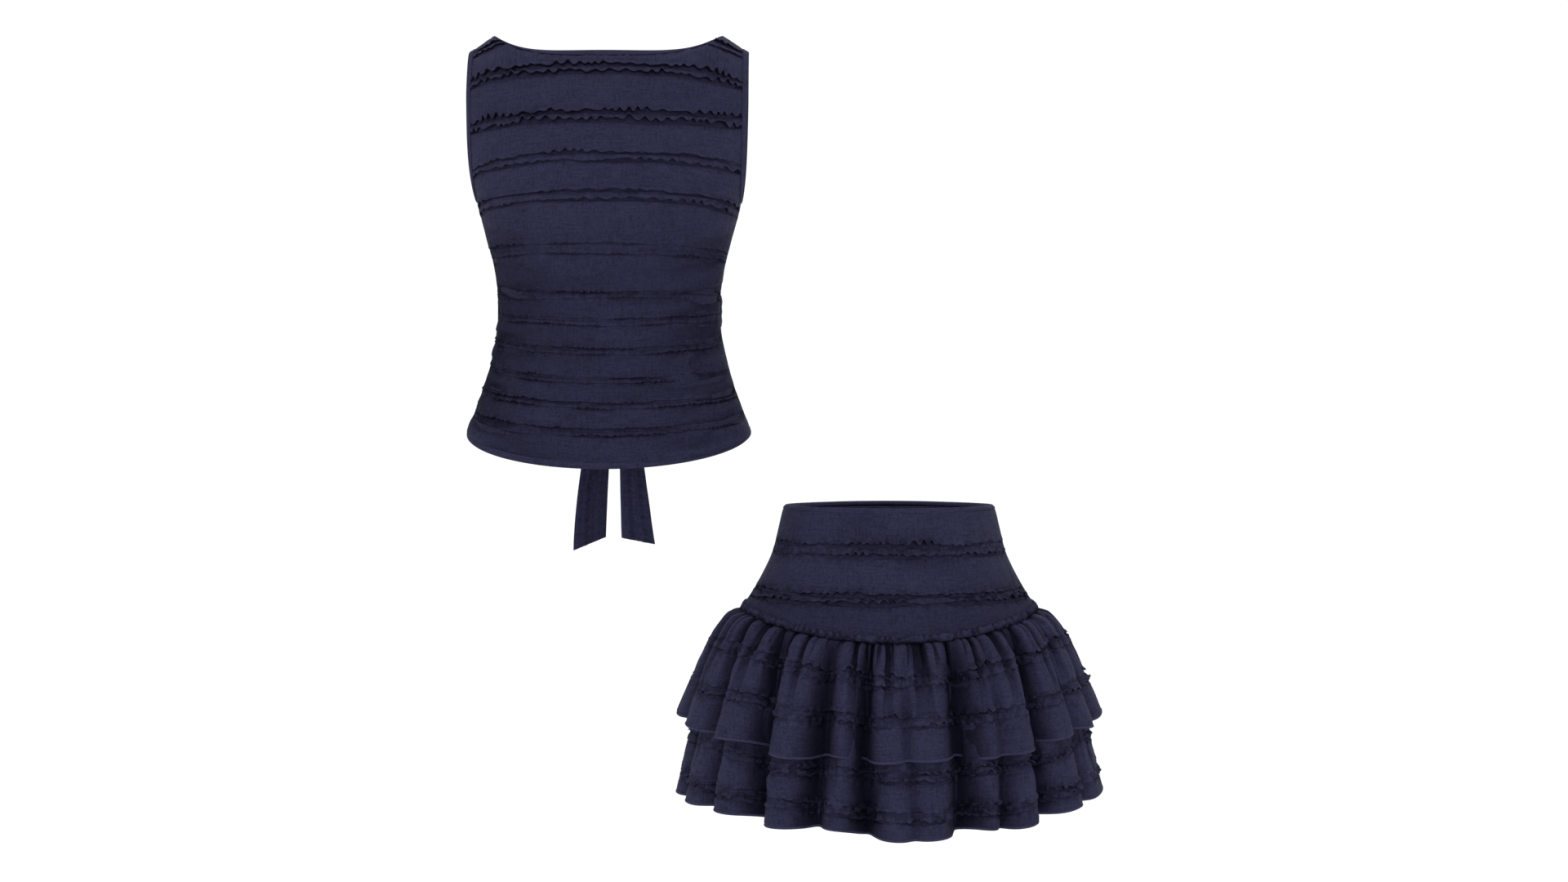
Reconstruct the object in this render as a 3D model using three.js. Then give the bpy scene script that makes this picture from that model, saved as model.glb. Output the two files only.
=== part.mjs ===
// Two-piece uniform set: a sleeveless boat-neck top that ties at the back, and a mini skirt with a fitted
// yoke and two ruffle tiers, both in the shape they take when worn. Millimetres, +Z up, the front faces -Y,
// and the origin is the middle of the skirt's waist.
import * as THREE from 'three';

// Cloth and sewing
const gauze = 2.6; // crinkled double gauze with its tucks
const tape = 1.2; // facings, tapes and elastic
const layerGap = 0.5; // between cloth layers sewn together
const seamGap = 0.6; // between the edges of two panels at a seam
const sideSeamAngle = 89.85; // degrees round from the centre, just short of the side seam
const hemRoll = 3; // height of a rolled hem
const seamDrop = 3.2; // from a slanting lower edge down to the gathered edge sewn to it

// Top: its place beside the skirt, then heights above the skirt's waist
const topX = -325;
const hemSideZ = 86;
const hemDip = { front: 42, back: 39 };
const underarmZ = 350;
const armholeFullZ = 430;
const chestZ = 470;
const shoulderPeak = { x: 134, z: 543.4 };
const shoulderEnd = { x: 161.5, z: 526 };
const neck = { front: { z: 515.5, depth: 72 }, back: { z: 522, depth: 66 } };
const armholeCut = 66; // degrees from the centre to the armhole edge across the chest
const hemCurve = 1.12; // how soon the hem's dip begins, from a side seam
const neckCurve = 4.2; // how late the neckline rises to the shoulder
const capBend = { lean: 0.62, middleDrop: 20, sideDrop: 2 }; // roundness from the chest line to the neck
const neckFacing = { inset: 4.5, drop: 9, height: 8 };
const armholeFacing = { drawIn: 5, width: 5 };
const shoulderTape = { from: 138, to: 157, drop: 6.2, width: 8 };
const sideElastic = { low: 130, high: 330, step: 20, inset: 1.8, width: 8 };
const topHalfWidth = [[40, 172], [86, 164], [130, 148], [170, 136.3], [212, 129.2], [260, 131], [300, 140],
  [350, 153], [400, 158], [526, 161.5]];
const topDepth = {
  front: [[40, 104], [86, 101], [226, 84], [350, 104], [400, 110], [470, 99]],
  back: [[40, 106], [86, 102], [226, 79], [350, 90], [400, 93], [470, 84]],
};

// Ties and bow at the back waist
const tieZ = 226;
const tieWidth = { side: 36, knot: 22 };
const strap = { side: 0.985, knot: 0.12, thickness: 2, lift: 3.8 }; // ends as shares of the half back
const knot = { x: -328, y: 93, z: 222, halfWidth: 9, halfDepth: 8, halfHeight: 13 };
const loop = { reach: 16, y: 96, length: 62, width: 34, droop: 25 };
const tailPath = [[-60, 113], [44, 110.5], [86, 106.5], [150, 99], [206, 96]]; // height, distance behind
const tailLeft = { top: [-329, -340, 206], inner: [-338, -42.5], outer: [-377.5, -59], spread: 1.5 };
const tailRight = { top: [-327, -316, 206], inner: [-319.5, -43.5], outer: [-279, -51.4], spread: 1 };

// Skirt: heights below the waist, half widths and depths
const seam = { side: -118, dipFront: 31, dipBack: 20 };
const yokeHalfWidth = [[-150, 188], [-125, 175], [-97, 156.8], [-59, 137.3], [-30, 129.3], [0, 122.6]];
const yokeDepth = {
  front: [[-150, 127], [-100, 116], [-50, 104], [0, 94]],
  back: [[-150, 133], [-100, 124], [-50, 108], [0, 90]],
};
const upperTier = {
  topZ: (c) => seamHeight(c) - seamDrop,
  hemZ: (c) => -239 - (c > 0 ? 39 : 27) * Math.abs(c) ** 1.3,
  top: { width: 172, front: 128, back: 134 },
  hem: { width: 247, front: 175, back: 182 },
  growth: 0.62,
  fold: 9,
};
const underskirt = {
  topZ: (c) => seamHeight(c) - seamDrop,
  hemZ: (c) => lowerTier.topZ(c) + seamDrop,
  top: { width: 165, front: 121, back: 127 },
  hem: { width: 204, front: 145, back: 152 },
  growth: 1,
  fold: 0,
};
const lowerTier = {
  topZ: (c) => -205 - (c > 0 ? 28 : 20) * Math.abs(c) ** 1.4,
  hemZ: (c) => -328 - (c > 0 ? 30 : 20) * Math.abs(c) ** 1.5,
  top: { width: 205, front: 146, back: 153 },
  hem: { width: 247, front: 176, back: 183 },
  growth: 0.62,
  fold: 9,
};
const foldCount = 16; // waves round a whole tier
const columnsPerFold = 4;
const waistElastic = { low: -34, high: -4 };
const waistFacing = { low: -38, high: -1 };
const gatherTape = { low: 2, high: 11 }; // above the seam

const navy = 0x1f2036;
const lining = 0x1a1b2c;
const label = 0xd8d8dc;
const set = new THREE.Group();

function addPiece(name, geometry, colour = navy, roughness = 0.9) {
  const material = new THREE.MeshStandardMaterial({ color: colour, roughness, metalness: 0 });
  const mesh = new THREE.Mesh(geometry, material);
  mesh.name = name;
  set.add(mesh);
  return mesh;
}

const mix = THREE.MathUtils.lerp;
const radians = THREE.MathUtils.degToRad;

// A smooth curve through [place, value] stations in rising order
function follow(stations, place) {
  const last = stations.length - 1;
  if (place <= stations[0][0]) return stations[0][1];
  if (place >= stations[last][0]) return stations[last][1];
  const i = stations.findIndex((station) => station[0] > place) - 1;
  const slope = (k) => {
    const before = stations[Math.max(k - 1, 0)];
    const after = stations[Math.min(k + 1, last)];
    return (after[1] - before[1]) / (after[0] - before[0]);
  };
  const span = stations[i + 1][0] - stations[i][0];
  const t = (place - stations[i][0]) / span;
  const rise = t * t * (3 - 2 * t);
  const ease = t * (1 - t) * (1 - t) * span * slope(i) - t * t * (1 - t) * span * slope(i + 1);
  return mix(stations[i][1], stations[i + 1][1], rise) + ease;
}

// Cloth with its outer face on surface(u, v) moved inward by `inset`: u, v run 0 to 1 and u x v points out
function clothShell(surface, columns, rows, thickness, inset = 0, settle = (point) => point) {
  const step = 1e-3;
  const normalAt = (u, v) => {
    const u0 = Math.max(u - step, 0);
    const u1 = Math.min(u + step, 1);
    const v0 = Math.max(v - step, 0);
    const v1 = Math.min(v + step, 1);
    const across = surface(u1, v).sub(surface(u0, v));
    const along = surface(u, v1).sub(surface(u, v0));
    return across.cross(along).normalize();
  };
  const geometry = new THREE.BoxGeometry(1, 1, 1, columns, rows, 1);
  const position = geometry.attributes.position;
  for (let i = 0; i < position.count; i += 1) {
    const u = position.getX(i) + 0.5;
    const v = position.getY(i) + 0.5;
    const depth = inset + (0.5 - position.getZ(i)) * thickness;
    const point = surface(u, v).addScaledVector(normalAt(u, v), -depth);
    const settled = settle(point);
    position.setXYZ(i, settled.x, settled.y, settled.z);
  }
  geometry.deleteAttribute('normal');
  geometry.deleteAttribute('uv');
  return geometry;
}

// Turns the faces of a closed shape outward
function faceOutward(geometry) {
  const { index, attributes } = geometry;
  const corners = [0, 1, 2].map(() => new THREE.Vector3());
  let volume = 0;
  for (let i = 0; i < index.count; i += 3) {
    corners.forEach((corner, k) => corner.fromBufferAttribute(attributes.position, index.getX(i + k)));
    volume += corners[0].dot(corners[1].clone().cross(corners[2]));
  }
  if (volume < 0) index.array.reverse();
  return geometry;
}

// A flat strip swept along a curve: `across` and `through` give the strip's width and thickness directions
function strip(curve, steps, width, thickness, across, through) {
  const geometry = new THREE.BoxGeometry(1, 1, 1, steps, 1, 1);
  const position = geometry.attributes.position;
  for (let i = 0; i < position.count; i += 1) {
    const u = position.getX(i) + 0.5;
    const point = curve.getPoint(u);
    point.addScaledVector(across(point), position.getY(i) * width);
    point.addScaledVector(through(point), position.getZ(i) * thickness);
    position.setXYZ(i, point.x, point.y, point.z);
  }
  geometry.deleteAttribute('normal');
  geometry.deleteAttribute('uv');
  return faceOutward(geometry);
}

// ---- Top ----

// Angle from the centre of a panel to its edge: the side seam below the underarm, the armhole above it
function edgeAngle(z) {
  if (z <= underarmZ) return radians(sideSeamAngle);
  const rise = Math.min((z - underarmZ) / (armholeFullZ - underarmZ), 1);
  const cosine = Math.cos(radians(armholeCut)) * Math.sqrt(1 - (1 - rise) ** 2);
  return Math.min(Math.acos(cosine), radians(sideSeamAngle));
}

// A point on the body of a panel: part is front or back, s runs -1 to 1 from left to right
function bodyPoint(part, s, z) {
  const edge = edgeAngle(z);
  const angle = s * edge;
  const x = (follow(topHalfWidth, z) / Math.sin(edge)) * Math.sin(angle);
  const out = part === 'front' ? -1 : 1;
  return new THREE.Vector3(topX + x, out * follow(topDepth[part], z) * Math.cos(angle), z);
}

// Neckline out to the shoulder's peak, then the shoulder seam
function upperEdge(part, s) {
  const out = part === 'front' ? -1 : 1;
  const cut = radians(armholeCut);
  const x = (shoulderEnd.x * Math.sin(s * cut)) / Math.sin(cut);
  const reach = Math.abs(x);
  if (reach >= shoulderPeak.x) {
    const along = (reach - shoulderPeak.x) / (shoulderEnd.x - shoulderPeak.x);
    return new THREE.Vector3(topX + x, (out * seamGap) / 2, mix(shoulderPeak.z, shoulderEnd.z, along));
  }
  const t = reach / shoulderPeak.x;
  const y = Math.max(neck[part].depth * Math.sqrt(1 - t * t), seamGap / 2);
  return new THREE.Vector3(topX + x, out * y, mix(neck[part].z, shoulderPeak.z, t ** neckCurve));
}

const chestShare = 0.78; // share of a panel's rows below the chest line

function bodicePoint(part, s, v) {
  if (v < chestShare) {
    const edge = edgeAngle(hemSideZ);
    const hem = hemSideZ - hemDip[part] * Math.cos(s * edge) ** hemCurve;
    return bodyPoint(part, s, mix(hem, chestZ, v / chestShare));
  }
  const t = (v - chestShare) / (1 - chestShare);
  const low = bodyPoint(part, s, chestZ);
  const high = upperEdge(part, s);
  const lean = THREE.MathUtils.smoothstep(Math.abs(high.x - topX), 0, shoulderPeak.x);
  const drop = mix(capBend.middleDrop, capBend.sideDrop, lean);
  const bend = new THREE.Vector3((low.x + high.x) / 2, mix(high.y, low.y, capBend.lean), high.z - drop);
  return new THREE.QuadraticBezierCurve3(low, bend, high).getPoint(t);
}

function bodicePanel(part) {
  const facing = part === 'front' ? 1 : -1;
  const surface = (u, v) => bodicePoint(part, facing * (2 * u - 1), v);
  const settle = (point) => {
    if (-facing * point.y < seamGap / 2) point.y = (-facing * seamGap) / 2;
    return point;
  };
  return clothShell(surface, 20, 14, gauze, 0, settle);
}

addPiece('top_front_panel', bodicePanel('front'));
addPiece('top_back_panel', bodicePanel('back'));

// Round the whole garment: u = 0 is the left side, 0.25 the front, 0.5 the right side, 0.75 the back
function roundAngle(u) {
  return radians(mix(-sideSeamAngle, 360 - (180 - sideSeamAngle), u));
}

const hemRing = (u, v) => {
  const angle = roundAngle(u);
  const part = Math.cos(angle) > 0 ? 'front' : 'back';
  const hem = hemSideZ - hemDip[part] * Math.abs(Math.cos(angle)) ** hemCurve;
  const x = follow(topHalfWidth, hem) * Math.sin(angle);
  const y = -follow(topDepth[part], hem) * Math.cos(angle);
  return new THREE.Vector3(topX + x, y, hem - 3 * layerGap - hemRoll * (1 - v));
};
addPiece('top_hem', clothShell(hemRing, 40, 1, gauze));

const neckRing = (u, v) => {
  const angle = roundAngle(u);
  const part = Math.cos(angle) > 0 ? 'front' : 'back';
  const x = (shoulderPeak.x - neckFacing.inset) * Math.sin(angle);
  const y = -(neck[part].depth - neckFacing.inset) * Math.cos(angle);
  const edge = mix(neck[part].z, shoulderPeak.z, Math.abs(Math.sin(angle)) ** neckCurve);
  return new THREE.Vector3(topX + x, y, edge - neckFacing.drop + neckFacing.height * v);
};
addPiece('neck_facing', clothShell(neckRing, 40, 1, tape), lining);

const sides = [{ name: 'left', hand: -1 }, { name: 'right', hand: 1 }];

// Armhole edge up the front and down the back, drawn in from the panels' edges
function armholeCurve(hand, drawIn) {
  const start = (chestShare * (underarmZ - hemSideZ)) / (chestZ - hemSideZ);
  const centre = new THREE.Vector3(0, 0, (underarmZ + shoulderEnd.z) / 2);
  const steps = 14;
  const points = [];
  for (const part of ['front', 'back']) {
    const edge = [];
    for (let i = 0; i <= steps; i += 1) {
      const point = bodicePoint(part, hand, mix(start, 1, i / steps));
      const inward = new THREE.Vector3(0, centre.y - point.y, centre.z - point.z).normalize();
      edge.push(point.addScaledVector(inward, drawIn));
    }
    points.push(...(part === 'front' ? edge : edge.reverse()));
  }
  return points;
}

for (const { name, hand } of sides) {
  const points = armholeCurve(hand, armholeFacing.drawIn);
  const half = points.length / 2;
  // starts and ends at the shoulder seam
  const ordered = [...points.slice(0, half).reverse(), ...points.slice(half).reverse()];
  const curve = new THREE.CatmullRomCurve3(ordered);
  const { width } = armholeFacing;
  const centreZ = (underarmZ + shoulderEnd.z) / 2;
  const inward = (point) => new THREE.Vector3(0, -point.y, centreZ - point.z).normalize();
  const sideways = () => new THREE.Vector3(-hand, 0, 0);
  for (const point of ordered) point.x -= (hand * width) / 2;
  const geometry = strip(curve, 36, width, tape, sideways, inward);
  addPiece(`armhole_facing_${name}`, geometry, lining);
}

for (const { name, hand } of sides) {
  const seamPoint = (reach) => {
    const along = (reach - shoulderPeak.x) / (shoulderEnd.x - shoulderPeak.x);
    const z = mix(shoulderPeak.z, shoulderEnd.z, along) - shoulderTape.drop;
    return new THREE.Vector3(topX + hand * reach, 0, z);
  };
  const line = new THREE.LineCurve3(seamPoint(shoulderTape.from), seamPoint(shoulderTape.to));
  const across = () => new THREE.Vector3(0, hand, 0);
  const through = () => new THREE.Vector3(0, 0, 1);
  addPiece(`shoulder_tape_${name}`, strip(line, 1, shoulderTape.width, tape, across, through), lining);
}

for (const { name, hand } of sides) {
  const line = [];
  for (let { low: z } = sideElastic; z <= sideElastic.high; z += sideElastic.step) {
    const reach = follow(topHalfWidth, z) - gauze - sideElastic.inset;
    line.push(new THREE.Vector3(topX + hand * reach, 0, z));
  }
  const across = () => new THREE.Vector3(0, hand, 0);
  const through = () => new THREE.Vector3(-hand, 0, 0);
  const curve = new THREE.CatmullRomCurve3(line);
  addPiece(`side_elastic_${name}`, strip(curve, 14, sideElastic.width, tape, across, through), lining);
}

// Straps lie on the back panel, from the side seams to the knot
for (const { name, hand } of sides) {
  const surface = (u, v) => {
    const along = hand > 0 ? u : 1 - u;
    const s = hand * mix(strap.side, strap.knot, along);
    const width = mix(tieWidth.side, tieWidth.knot, along);
    return bodyPoint('back', s, mix(tieZ, knot.z, along) + (v - 0.5) * width);
  };
  addPiece(`tie_strap_${name}`, clothShell(surface, 12, 2, strap.thickness, -strap.lift));
}

const knotShape = new THREE.SphereGeometry(1, 14, 10);
knotShape.scale(knot.halfWidth, knot.halfDepth, knot.halfHeight);
knotShape.translate(knot.x, knot.y, knot.z);
addPiece('bow_knot', knotShape);

// A loop of ribbon, closed at the knot and narrowed where it is gathered into it
function bowLoop(hand) {
  const outline = new THREE.Shape();
  outline.moveTo(0, -3);
  outline.bezierCurveTo(18, -11, 60, -14, loop.length, 0);
  outline.bezierCurveTo(60, 14, 18, 11, 0, 3);
  outline.closePath();
  const inside = new THREE.Path();
  inside.moveTo(12, 0);
  inside.bezierCurveTo(24, -6.5, 57, -11, loop.length - gauze, 0);
  inside.bezierCurveTo(57, 11, 24, 6.5, 12, 0);
  outline.holes.push(inside);
  const extrusion = { depth: loop.width, bevelEnabled: false, curveSegments: 8 };
  const geometry = new THREE.ExtrudeGeometry(outline, extrusion);
  geometry.translate(0, 0, -loop.width / 2);
  const position = geometry.attributes.position;
  for (let i = 0; i < position.count; i += 1) {
    const gathered = 0.35 + 0.65 * Math.min(position.getX(i) / 35, 1);
    position.setZ(i, position.getZ(i) * gathered);
  }
  if (hand < 0) geometry.rotateZ(Math.PI);
  geometry.rotateY(hand * radians(loop.droop));
  geometry.translate(knot.x + hand * loop.reach, loop.y, knot.z);
  return geometry;
}

for (const { name, hand } of sides) addPiece(`bow_loop_${name}`, bowLoop(hand));

// Tails widen from the knot to slanted ends; u runs across and v up
function tieTail(tail, hand) {
  const [innerX, outerX, topZ] = tail.top;
  const surface = (u, v) => {
    const outward = hand < 0 ? u : 1 - u;
    const low = new THREE.Vector2(...tail.inner).lerp(new THREE.Vector2(...tail.outer), outward);
    const z = mix(low.y, topZ, v);
    const x = mix(low.x, mix(innerX, outerX, outward), v ** mix(1, tail.spread, outward));
    return new THREE.Vector3(x, follow(tailPath, z), z);
  };
  return clothShell(surface, 3, 9, gauze, -gauze / 2);
}

addPiece('tie_tail_left', tieTail(tailLeft, -1));
addPiece('tie_tail_right', tieTail(tailRight, 1));

const labelSize = { width: 34, height: 22, neckHeight: 20, careWidth: 26, careHeight: 36, thickness: 0.8 };
const neckLabelCloth = new THREE.BoxGeometry(labelSize.width, labelSize.thickness, labelSize.neckHeight);
const neckLabel = addPiece('neck_label', neckLabelCloth, label);
neckLabel.position.set(topX, 59.5, 499);
const careLabelCloth = new THREE.BoxGeometry(labelSize.thickness, labelSize.careWidth, labelSize.careHeight);
const careLabel = addPiece('care_label', careLabelCloth, label);
careLabel.position.set(topX - 118, 21, 150);

// ---- Skirt ----

function seamHeight(c) {
  return seam.side - (c > 0 ? seam.dipFront : seam.dipBack) * c * c;
}

function yokePoint(angle, v) {
  const c = Math.cos(angle);
  const z = seamHeight(c) * (1 - v);
  const depth = follow(c > 0 ? yokeDepth.front : yokeDepth.back, z);
  return new THREE.Vector3(follow(yokeHalfWidth, z) * Math.sin(angle), -depth * c, z);
}

function tierPoint(tier, angle, v) {
  const c = Math.cos(angle);
  const s = Math.sin(angle);
  const grown = (1 - v) ** tier.growth;
  const wave = tier.fold * (1 - v) * Math.cos(foldCount * angle);
  const width = mix(tier.top.width, tier.hem.width, grown) + wave;
  const half = c > 0 ? 'front' : 'back';
  const depth = mix(tier.top[half], tier.hem[half], grown) + wave;
  return new THREE.Vector3(width * s, -depth * c, mix(tier.hemZ(c), tier.topZ(c), v));
}

// Front and back halves of a ring of cloth, joined at the side seams
const halves = [
  { name: 'front', from: -sideSeamAngle, to: sideSeamAngle },
  { name: 'back', from: 180 - sideSeamAngle, to: 180 + sideSeamAngle },
];

function addHalves(name, ringPoint, columns, rows, colour) {
  for (const half of halves) {
    const surface = (u, v) => ringPoint(radians(mix(half.from, half.to, u)), v);
    addPiece(`${name}_${half.name}`, clothShell(surface, columns, rows, gauze), colour);
  }
}

addHalves('yoke', yokePoint, 20, 5, navy);
const tierColumns = (foldCount / 2) * columnsPerFold;
addHalves('upper_tier', (angle, v) => tierPoint(upperTier, angle, v), tierColumns, 3, navy);
addHalves('underskirt', (angle, v) => tierPoint(underskirt, angle, v), 20, 3, lining);
addHalves('lower_tier', (angle, v) => tierPoint(lowerTier, angle, v), tierColumns, 3, navy);

// Bands that lie inside the yoke, between two of its levels
function yokeBand(lowZ, highZ, inset) {
  const surface = (u, v) => {
    const angle = roundAngle(u);
    const whole = seamHeight(Math.cos(angle));
    return yokePoint(angle, 1 - mix(lowZ(whole), highZ(whole), v) / whole);
  };
  return clothShell(surface, 40, 1, tape, inset);
}

const elasticInset = gauze + layerGap;
const facingInset = elasticInset + tape + layerGap;
addPiece('waist_elastic', yokeBand(() => waistElastic.low, () => waistElastic.high, elasticInset), 0x2a2a30);
addPiece('waist_facing', yokeBand(() => waistFacing.low, () => waistFacing.high, facingInset), lining);
const tapeLow = (whole) => whole + gatherTape.low;
const tapeHigh = (whole) => whole + gatherTape.high;
addPiece('gather_tape', yokeBand(tapeLow, tapeHigh, elasticInset), lining);

for (const [name, tier] of [['upper_tier', upperTier], ['lower_tier', lowerTier]]) {
  const surface = (u, v) => {
    const point = tierPoint(tier, roundAngle(u), 0);
    point.z -= 3 * layerGap + hemRoll * (1 - v);
    return point;
  };
  addPiece(`${name}_hem`, clothShell(surface, 2 * tierColumns, 1, gauze));
}

const skirtLabelShape = new THREE.BoxGeometry(labelSize.width, labelSize.thickness, labelSize.height);
const skirtLabel = addPiece('skirt_label', skirtLabelShape, label);
skirtLabel.position.set(0, 79, -24);

export default set;
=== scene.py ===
import bpy
import math
import numpy as np
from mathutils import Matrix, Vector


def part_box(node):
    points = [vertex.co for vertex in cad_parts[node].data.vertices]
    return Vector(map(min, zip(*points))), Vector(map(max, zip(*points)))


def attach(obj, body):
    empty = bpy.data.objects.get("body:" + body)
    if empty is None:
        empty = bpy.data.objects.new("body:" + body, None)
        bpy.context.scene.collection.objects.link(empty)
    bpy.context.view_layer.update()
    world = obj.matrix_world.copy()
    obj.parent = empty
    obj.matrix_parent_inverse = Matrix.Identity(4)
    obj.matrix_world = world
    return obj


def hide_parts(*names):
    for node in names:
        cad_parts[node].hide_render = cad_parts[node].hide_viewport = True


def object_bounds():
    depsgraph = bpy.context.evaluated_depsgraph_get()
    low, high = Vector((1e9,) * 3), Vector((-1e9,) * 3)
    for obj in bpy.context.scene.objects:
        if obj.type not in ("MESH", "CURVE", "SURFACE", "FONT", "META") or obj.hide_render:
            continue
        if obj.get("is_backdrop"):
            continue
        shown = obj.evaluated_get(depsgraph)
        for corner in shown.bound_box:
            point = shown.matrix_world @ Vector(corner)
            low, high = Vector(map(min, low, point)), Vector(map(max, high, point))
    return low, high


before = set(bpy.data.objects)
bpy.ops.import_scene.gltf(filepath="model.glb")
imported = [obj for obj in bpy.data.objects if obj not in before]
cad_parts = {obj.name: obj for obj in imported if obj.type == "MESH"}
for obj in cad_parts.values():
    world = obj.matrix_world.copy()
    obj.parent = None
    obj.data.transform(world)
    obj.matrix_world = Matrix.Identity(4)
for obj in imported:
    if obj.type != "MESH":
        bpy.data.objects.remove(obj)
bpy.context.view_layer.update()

# A two-piece set in navy crinkled gauze: a sleeveless top that ties at the back, and a skirt with a yoke and
# two ruffle tiers, in the shape they take when worn. Dictionaries are in millimetres, the frame in metres.
mm = 0.001


def boxOf(node):
    low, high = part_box(node)
    return np.array(low) / mm, np.array(high) / mm


# small maths

def follow(stations, place):                       # smooth curve through (place, value) stations
    x = np.array([s[0] for s in stations], float)
    y = np.array([s[1] for s in stations], float)
    place = np.clip(place, x[0], x[-1])
    i = np.clip(np.searchsorted(x, place, side="right") - 1, 0, len(x) - 2)
    slope = np.gradient(y, x)
    slope[1:-1] = (y[2:] - y[:-2]) / (x[2:] - x[:-2])
    span = x[i + 1] - x[i]
    t = (place - x[i]) / span
    rise = t * t * (3 - 2 * t)
    ease = t * (1 - t) ** 2 * span * slope[i] - t * t * (1 - t) * span * slope[i + 1]
    return y[i] + (y[i + 1] - y[i]) * rise + ease


def easeIn(x, low, high):
    t = np.clip((x - low) / (high - low), 0, 1)
    return t * t * (3 - 2 * t)


def mix(a, b, t):
    return a + (b - a) * t


def unevenLine(seed, spacing):                     # smooth random line from -1 to 1
    knots = np.random.default_rng(seed).uniform(-1, 1, 2048)

    def at(x):
        place = np.asarray(x, float) / spacing + 700
        i = np.floor(place).astype(int)
        t = place - i
        t = t * t * (3 - 2 * t)
        return mix(knots[i % 2048], knots[(i + 1) % 2048], t)
    return at


def unevenCloth(seed, across, along):              # smooth random field, its spots across by along mm
    knots = np.random.default_rng(seed).uniform(-1, 1, (256, 256))

    def at(u, v):
        a = np.asarray(u, float) / across + 90
        b = np.asarray(v, float) / along + 90
        i, j = np.floor(a).astype(int), np.floor(b).astype(int)
        s, t = a - i, b - j
        s, t = s * s * (3 - 2 * s), t * t * (3 - 2 * t)
        low = mix(knots[i % 256, j % 256], knots[(i + 1) % 256, j % 256], s)
        high = mix(knots[i % 256, (j + 1) % 256], knots[(i + 1) % 256, (j + 1) % 256], s)
        return mix(low, high, t)
    return at


def notches(seed, spacing, width=1.3):             # uneven round notches (1) between a frill's lobes (0)
    pace, size = unevenLine(seed, 1.9 * spacing), unevenLine(seed + 1, 1.3 * spacing)

    def at(x):
        turn = np.pi * (np.asarray(x) / spacing + 0.8 * pace(x))
        return np.abs(np.cos(turn)) ** (2 * width) * (0.58 + 0.42 * size(x))
    return at


def gaps(seed, spacing, share):                    # uneven narrow gaps (1) between wide puffs (0)
    pace, size = unevenLine(seed, 1.7 * spacing), unevenLine(seed + 1, 1.1 * spacing)

    def at(x):
        turn = np.pi * (np.asarray(x) / spacing + 0.6 * pace(x))
        edge = np.cos(np.pi * share * (0.5 + 0.25 * size(x))) ** 2
        return easeIn(np.cos(turn) ** 2, edge - 0.12, edge + 0.05)
    return at


def unit(v):
    return v / np.maximum(np.linalg.norm(v, axis=-1, keepdims=True), 1e-9)


# meshes from grids

def makeMesh(name, points, faces, uv, shadeMarks=None):  # faces: arrays of vertex numbers, uv: one run for each
    mesh = bpy.data.meshes.new(name)
    mesh.vertices.add(len(points))
    mesh.vertices.foreach_set("co", (points * mm).astype(np.float32).ravel())
    loops = np.concatenate([f.ravel() for f in faces])
    sizes = np.concatenate([np.full(len(f), f.shape[1]) for f in faces])
    mesh.loops.add(loops.size)
    mesh.loops.foreach_set("vertex_index", loops.astype(np.int32))
    mesh.polygons.add(len(sizes))
    mesh.polygons.foreach_set("loop_start", np.concatenate([[0], np.cumsum(sizes)[:-1]]).astype(np.int32))
    mesh.polygons.foreach_set("use_smooth", np.ones(len(sizes), bool))
    mesh.update(calc_edges=True)
    layer = mesh.uv_layers.new(name="cloth")
    layer.data.foreach_set("uv", (np.concatenate(uv) * mm).astype(np.float32).ravel())
    # the "fold" attribute is painted shade: where it is high the material darkens the colour and lowers sheen
    # and specular; negative values paint lighter
    shade = mesh.attributes.new("fold", "FLOAT", "POINT")
    shade.data.foreach_set("value", (np.zeros(len(points)) if shadeMarks is None else shadeMarks).astype(np.float32))
    mesh.validate()
    thing = bpy.data.objects.new(name, mesh)
    bpy.context.scene.collection.objects.link(thing)
    return thing


def gridFaces(ids, flip=False):
    a, b, c, d = ids[:-1, :-1], ids[:-1, 1:], ids[1:, 1:], ids[1:, :-1]
    order = (a, d, c, b) if flip else (a, b, c, d)
    return np.stack(order, -1).reshape(-1, 4)


def edgeFaces(outer, inner):                       # rim between two matching runs of vertices
    return np.stack((outer[1:], outer[:-1], inner[:-1], inner[1:]), -1).reshape(-1, 4)


# A closed sheet from its outer and inner grids (rows up, columns across), points in mm. The inner grid may
# have fewer columns: its columns then match every second or fourth of the outer ones.
def clothMesh(name, outer, inner, flat, fold=None):
    rows, cols = outer.shape[:2]
    innerCols = inner.shape[1]
    ratio = (cols - 1) // (innerCols - 1)
    innerFlat = flat[:, ::ratio]
    ids = np.arange(rows * cols).reshape(rows, cols)
    innerIds = rows * cols + np.arange(rows * innerCols).reshape(rows, innerCols)
    faces = [gridFaces(ids), gridFaces(innerIds, True)]
    faces += [edgeFaces(ids[::-1, 0], innerIds[::-1, 0]), edgeFaces(ids[:, -1], innerIds[:, -1])]
    for row, step in ((0, 1), (-1, -1)):           # bottom and top rims
        outerRun, innerRun = ids[row][::step], innerIds[row][::step]
        starts = np.arange(0, cols - 1, ratio)
        fan = np.stack([outerRun[starts + ratio - k] for k in range(ratio + 1)], -1)
        pair = np.stack([innerRun[:-1], innerRun[1:]], -1)
        faces.append(np.concatenate([fan, pair], -1))
    points = np.concatenate([outer.reshape(-1, 3), inner.reshape(-1, 3)])
    uv = np.concatenate([flat.reshape(-1, 2), innerFlat.reshape(-1, 2)])
    shadeMarks = None
    if fold is not None:
        # the inner face gets an even painted shade of 0.3
        shadeMarks = np.concatenate([fold.ravel(), np.full(rows * innerCols, 0.3)])
    return makeMesh(name, points, faces, [uv[f.ravel()] for f in faces], shadeMarks)


def runLengths(points):                            # distance along the first axis, starting at 0
    step = np.linalg.norm(np.diff(points, axis=0), axis=-1)
    return np.concatenate([np.zeros((1,) + step.shape[1:]), np.cumsum(step, axis=0)])


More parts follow.
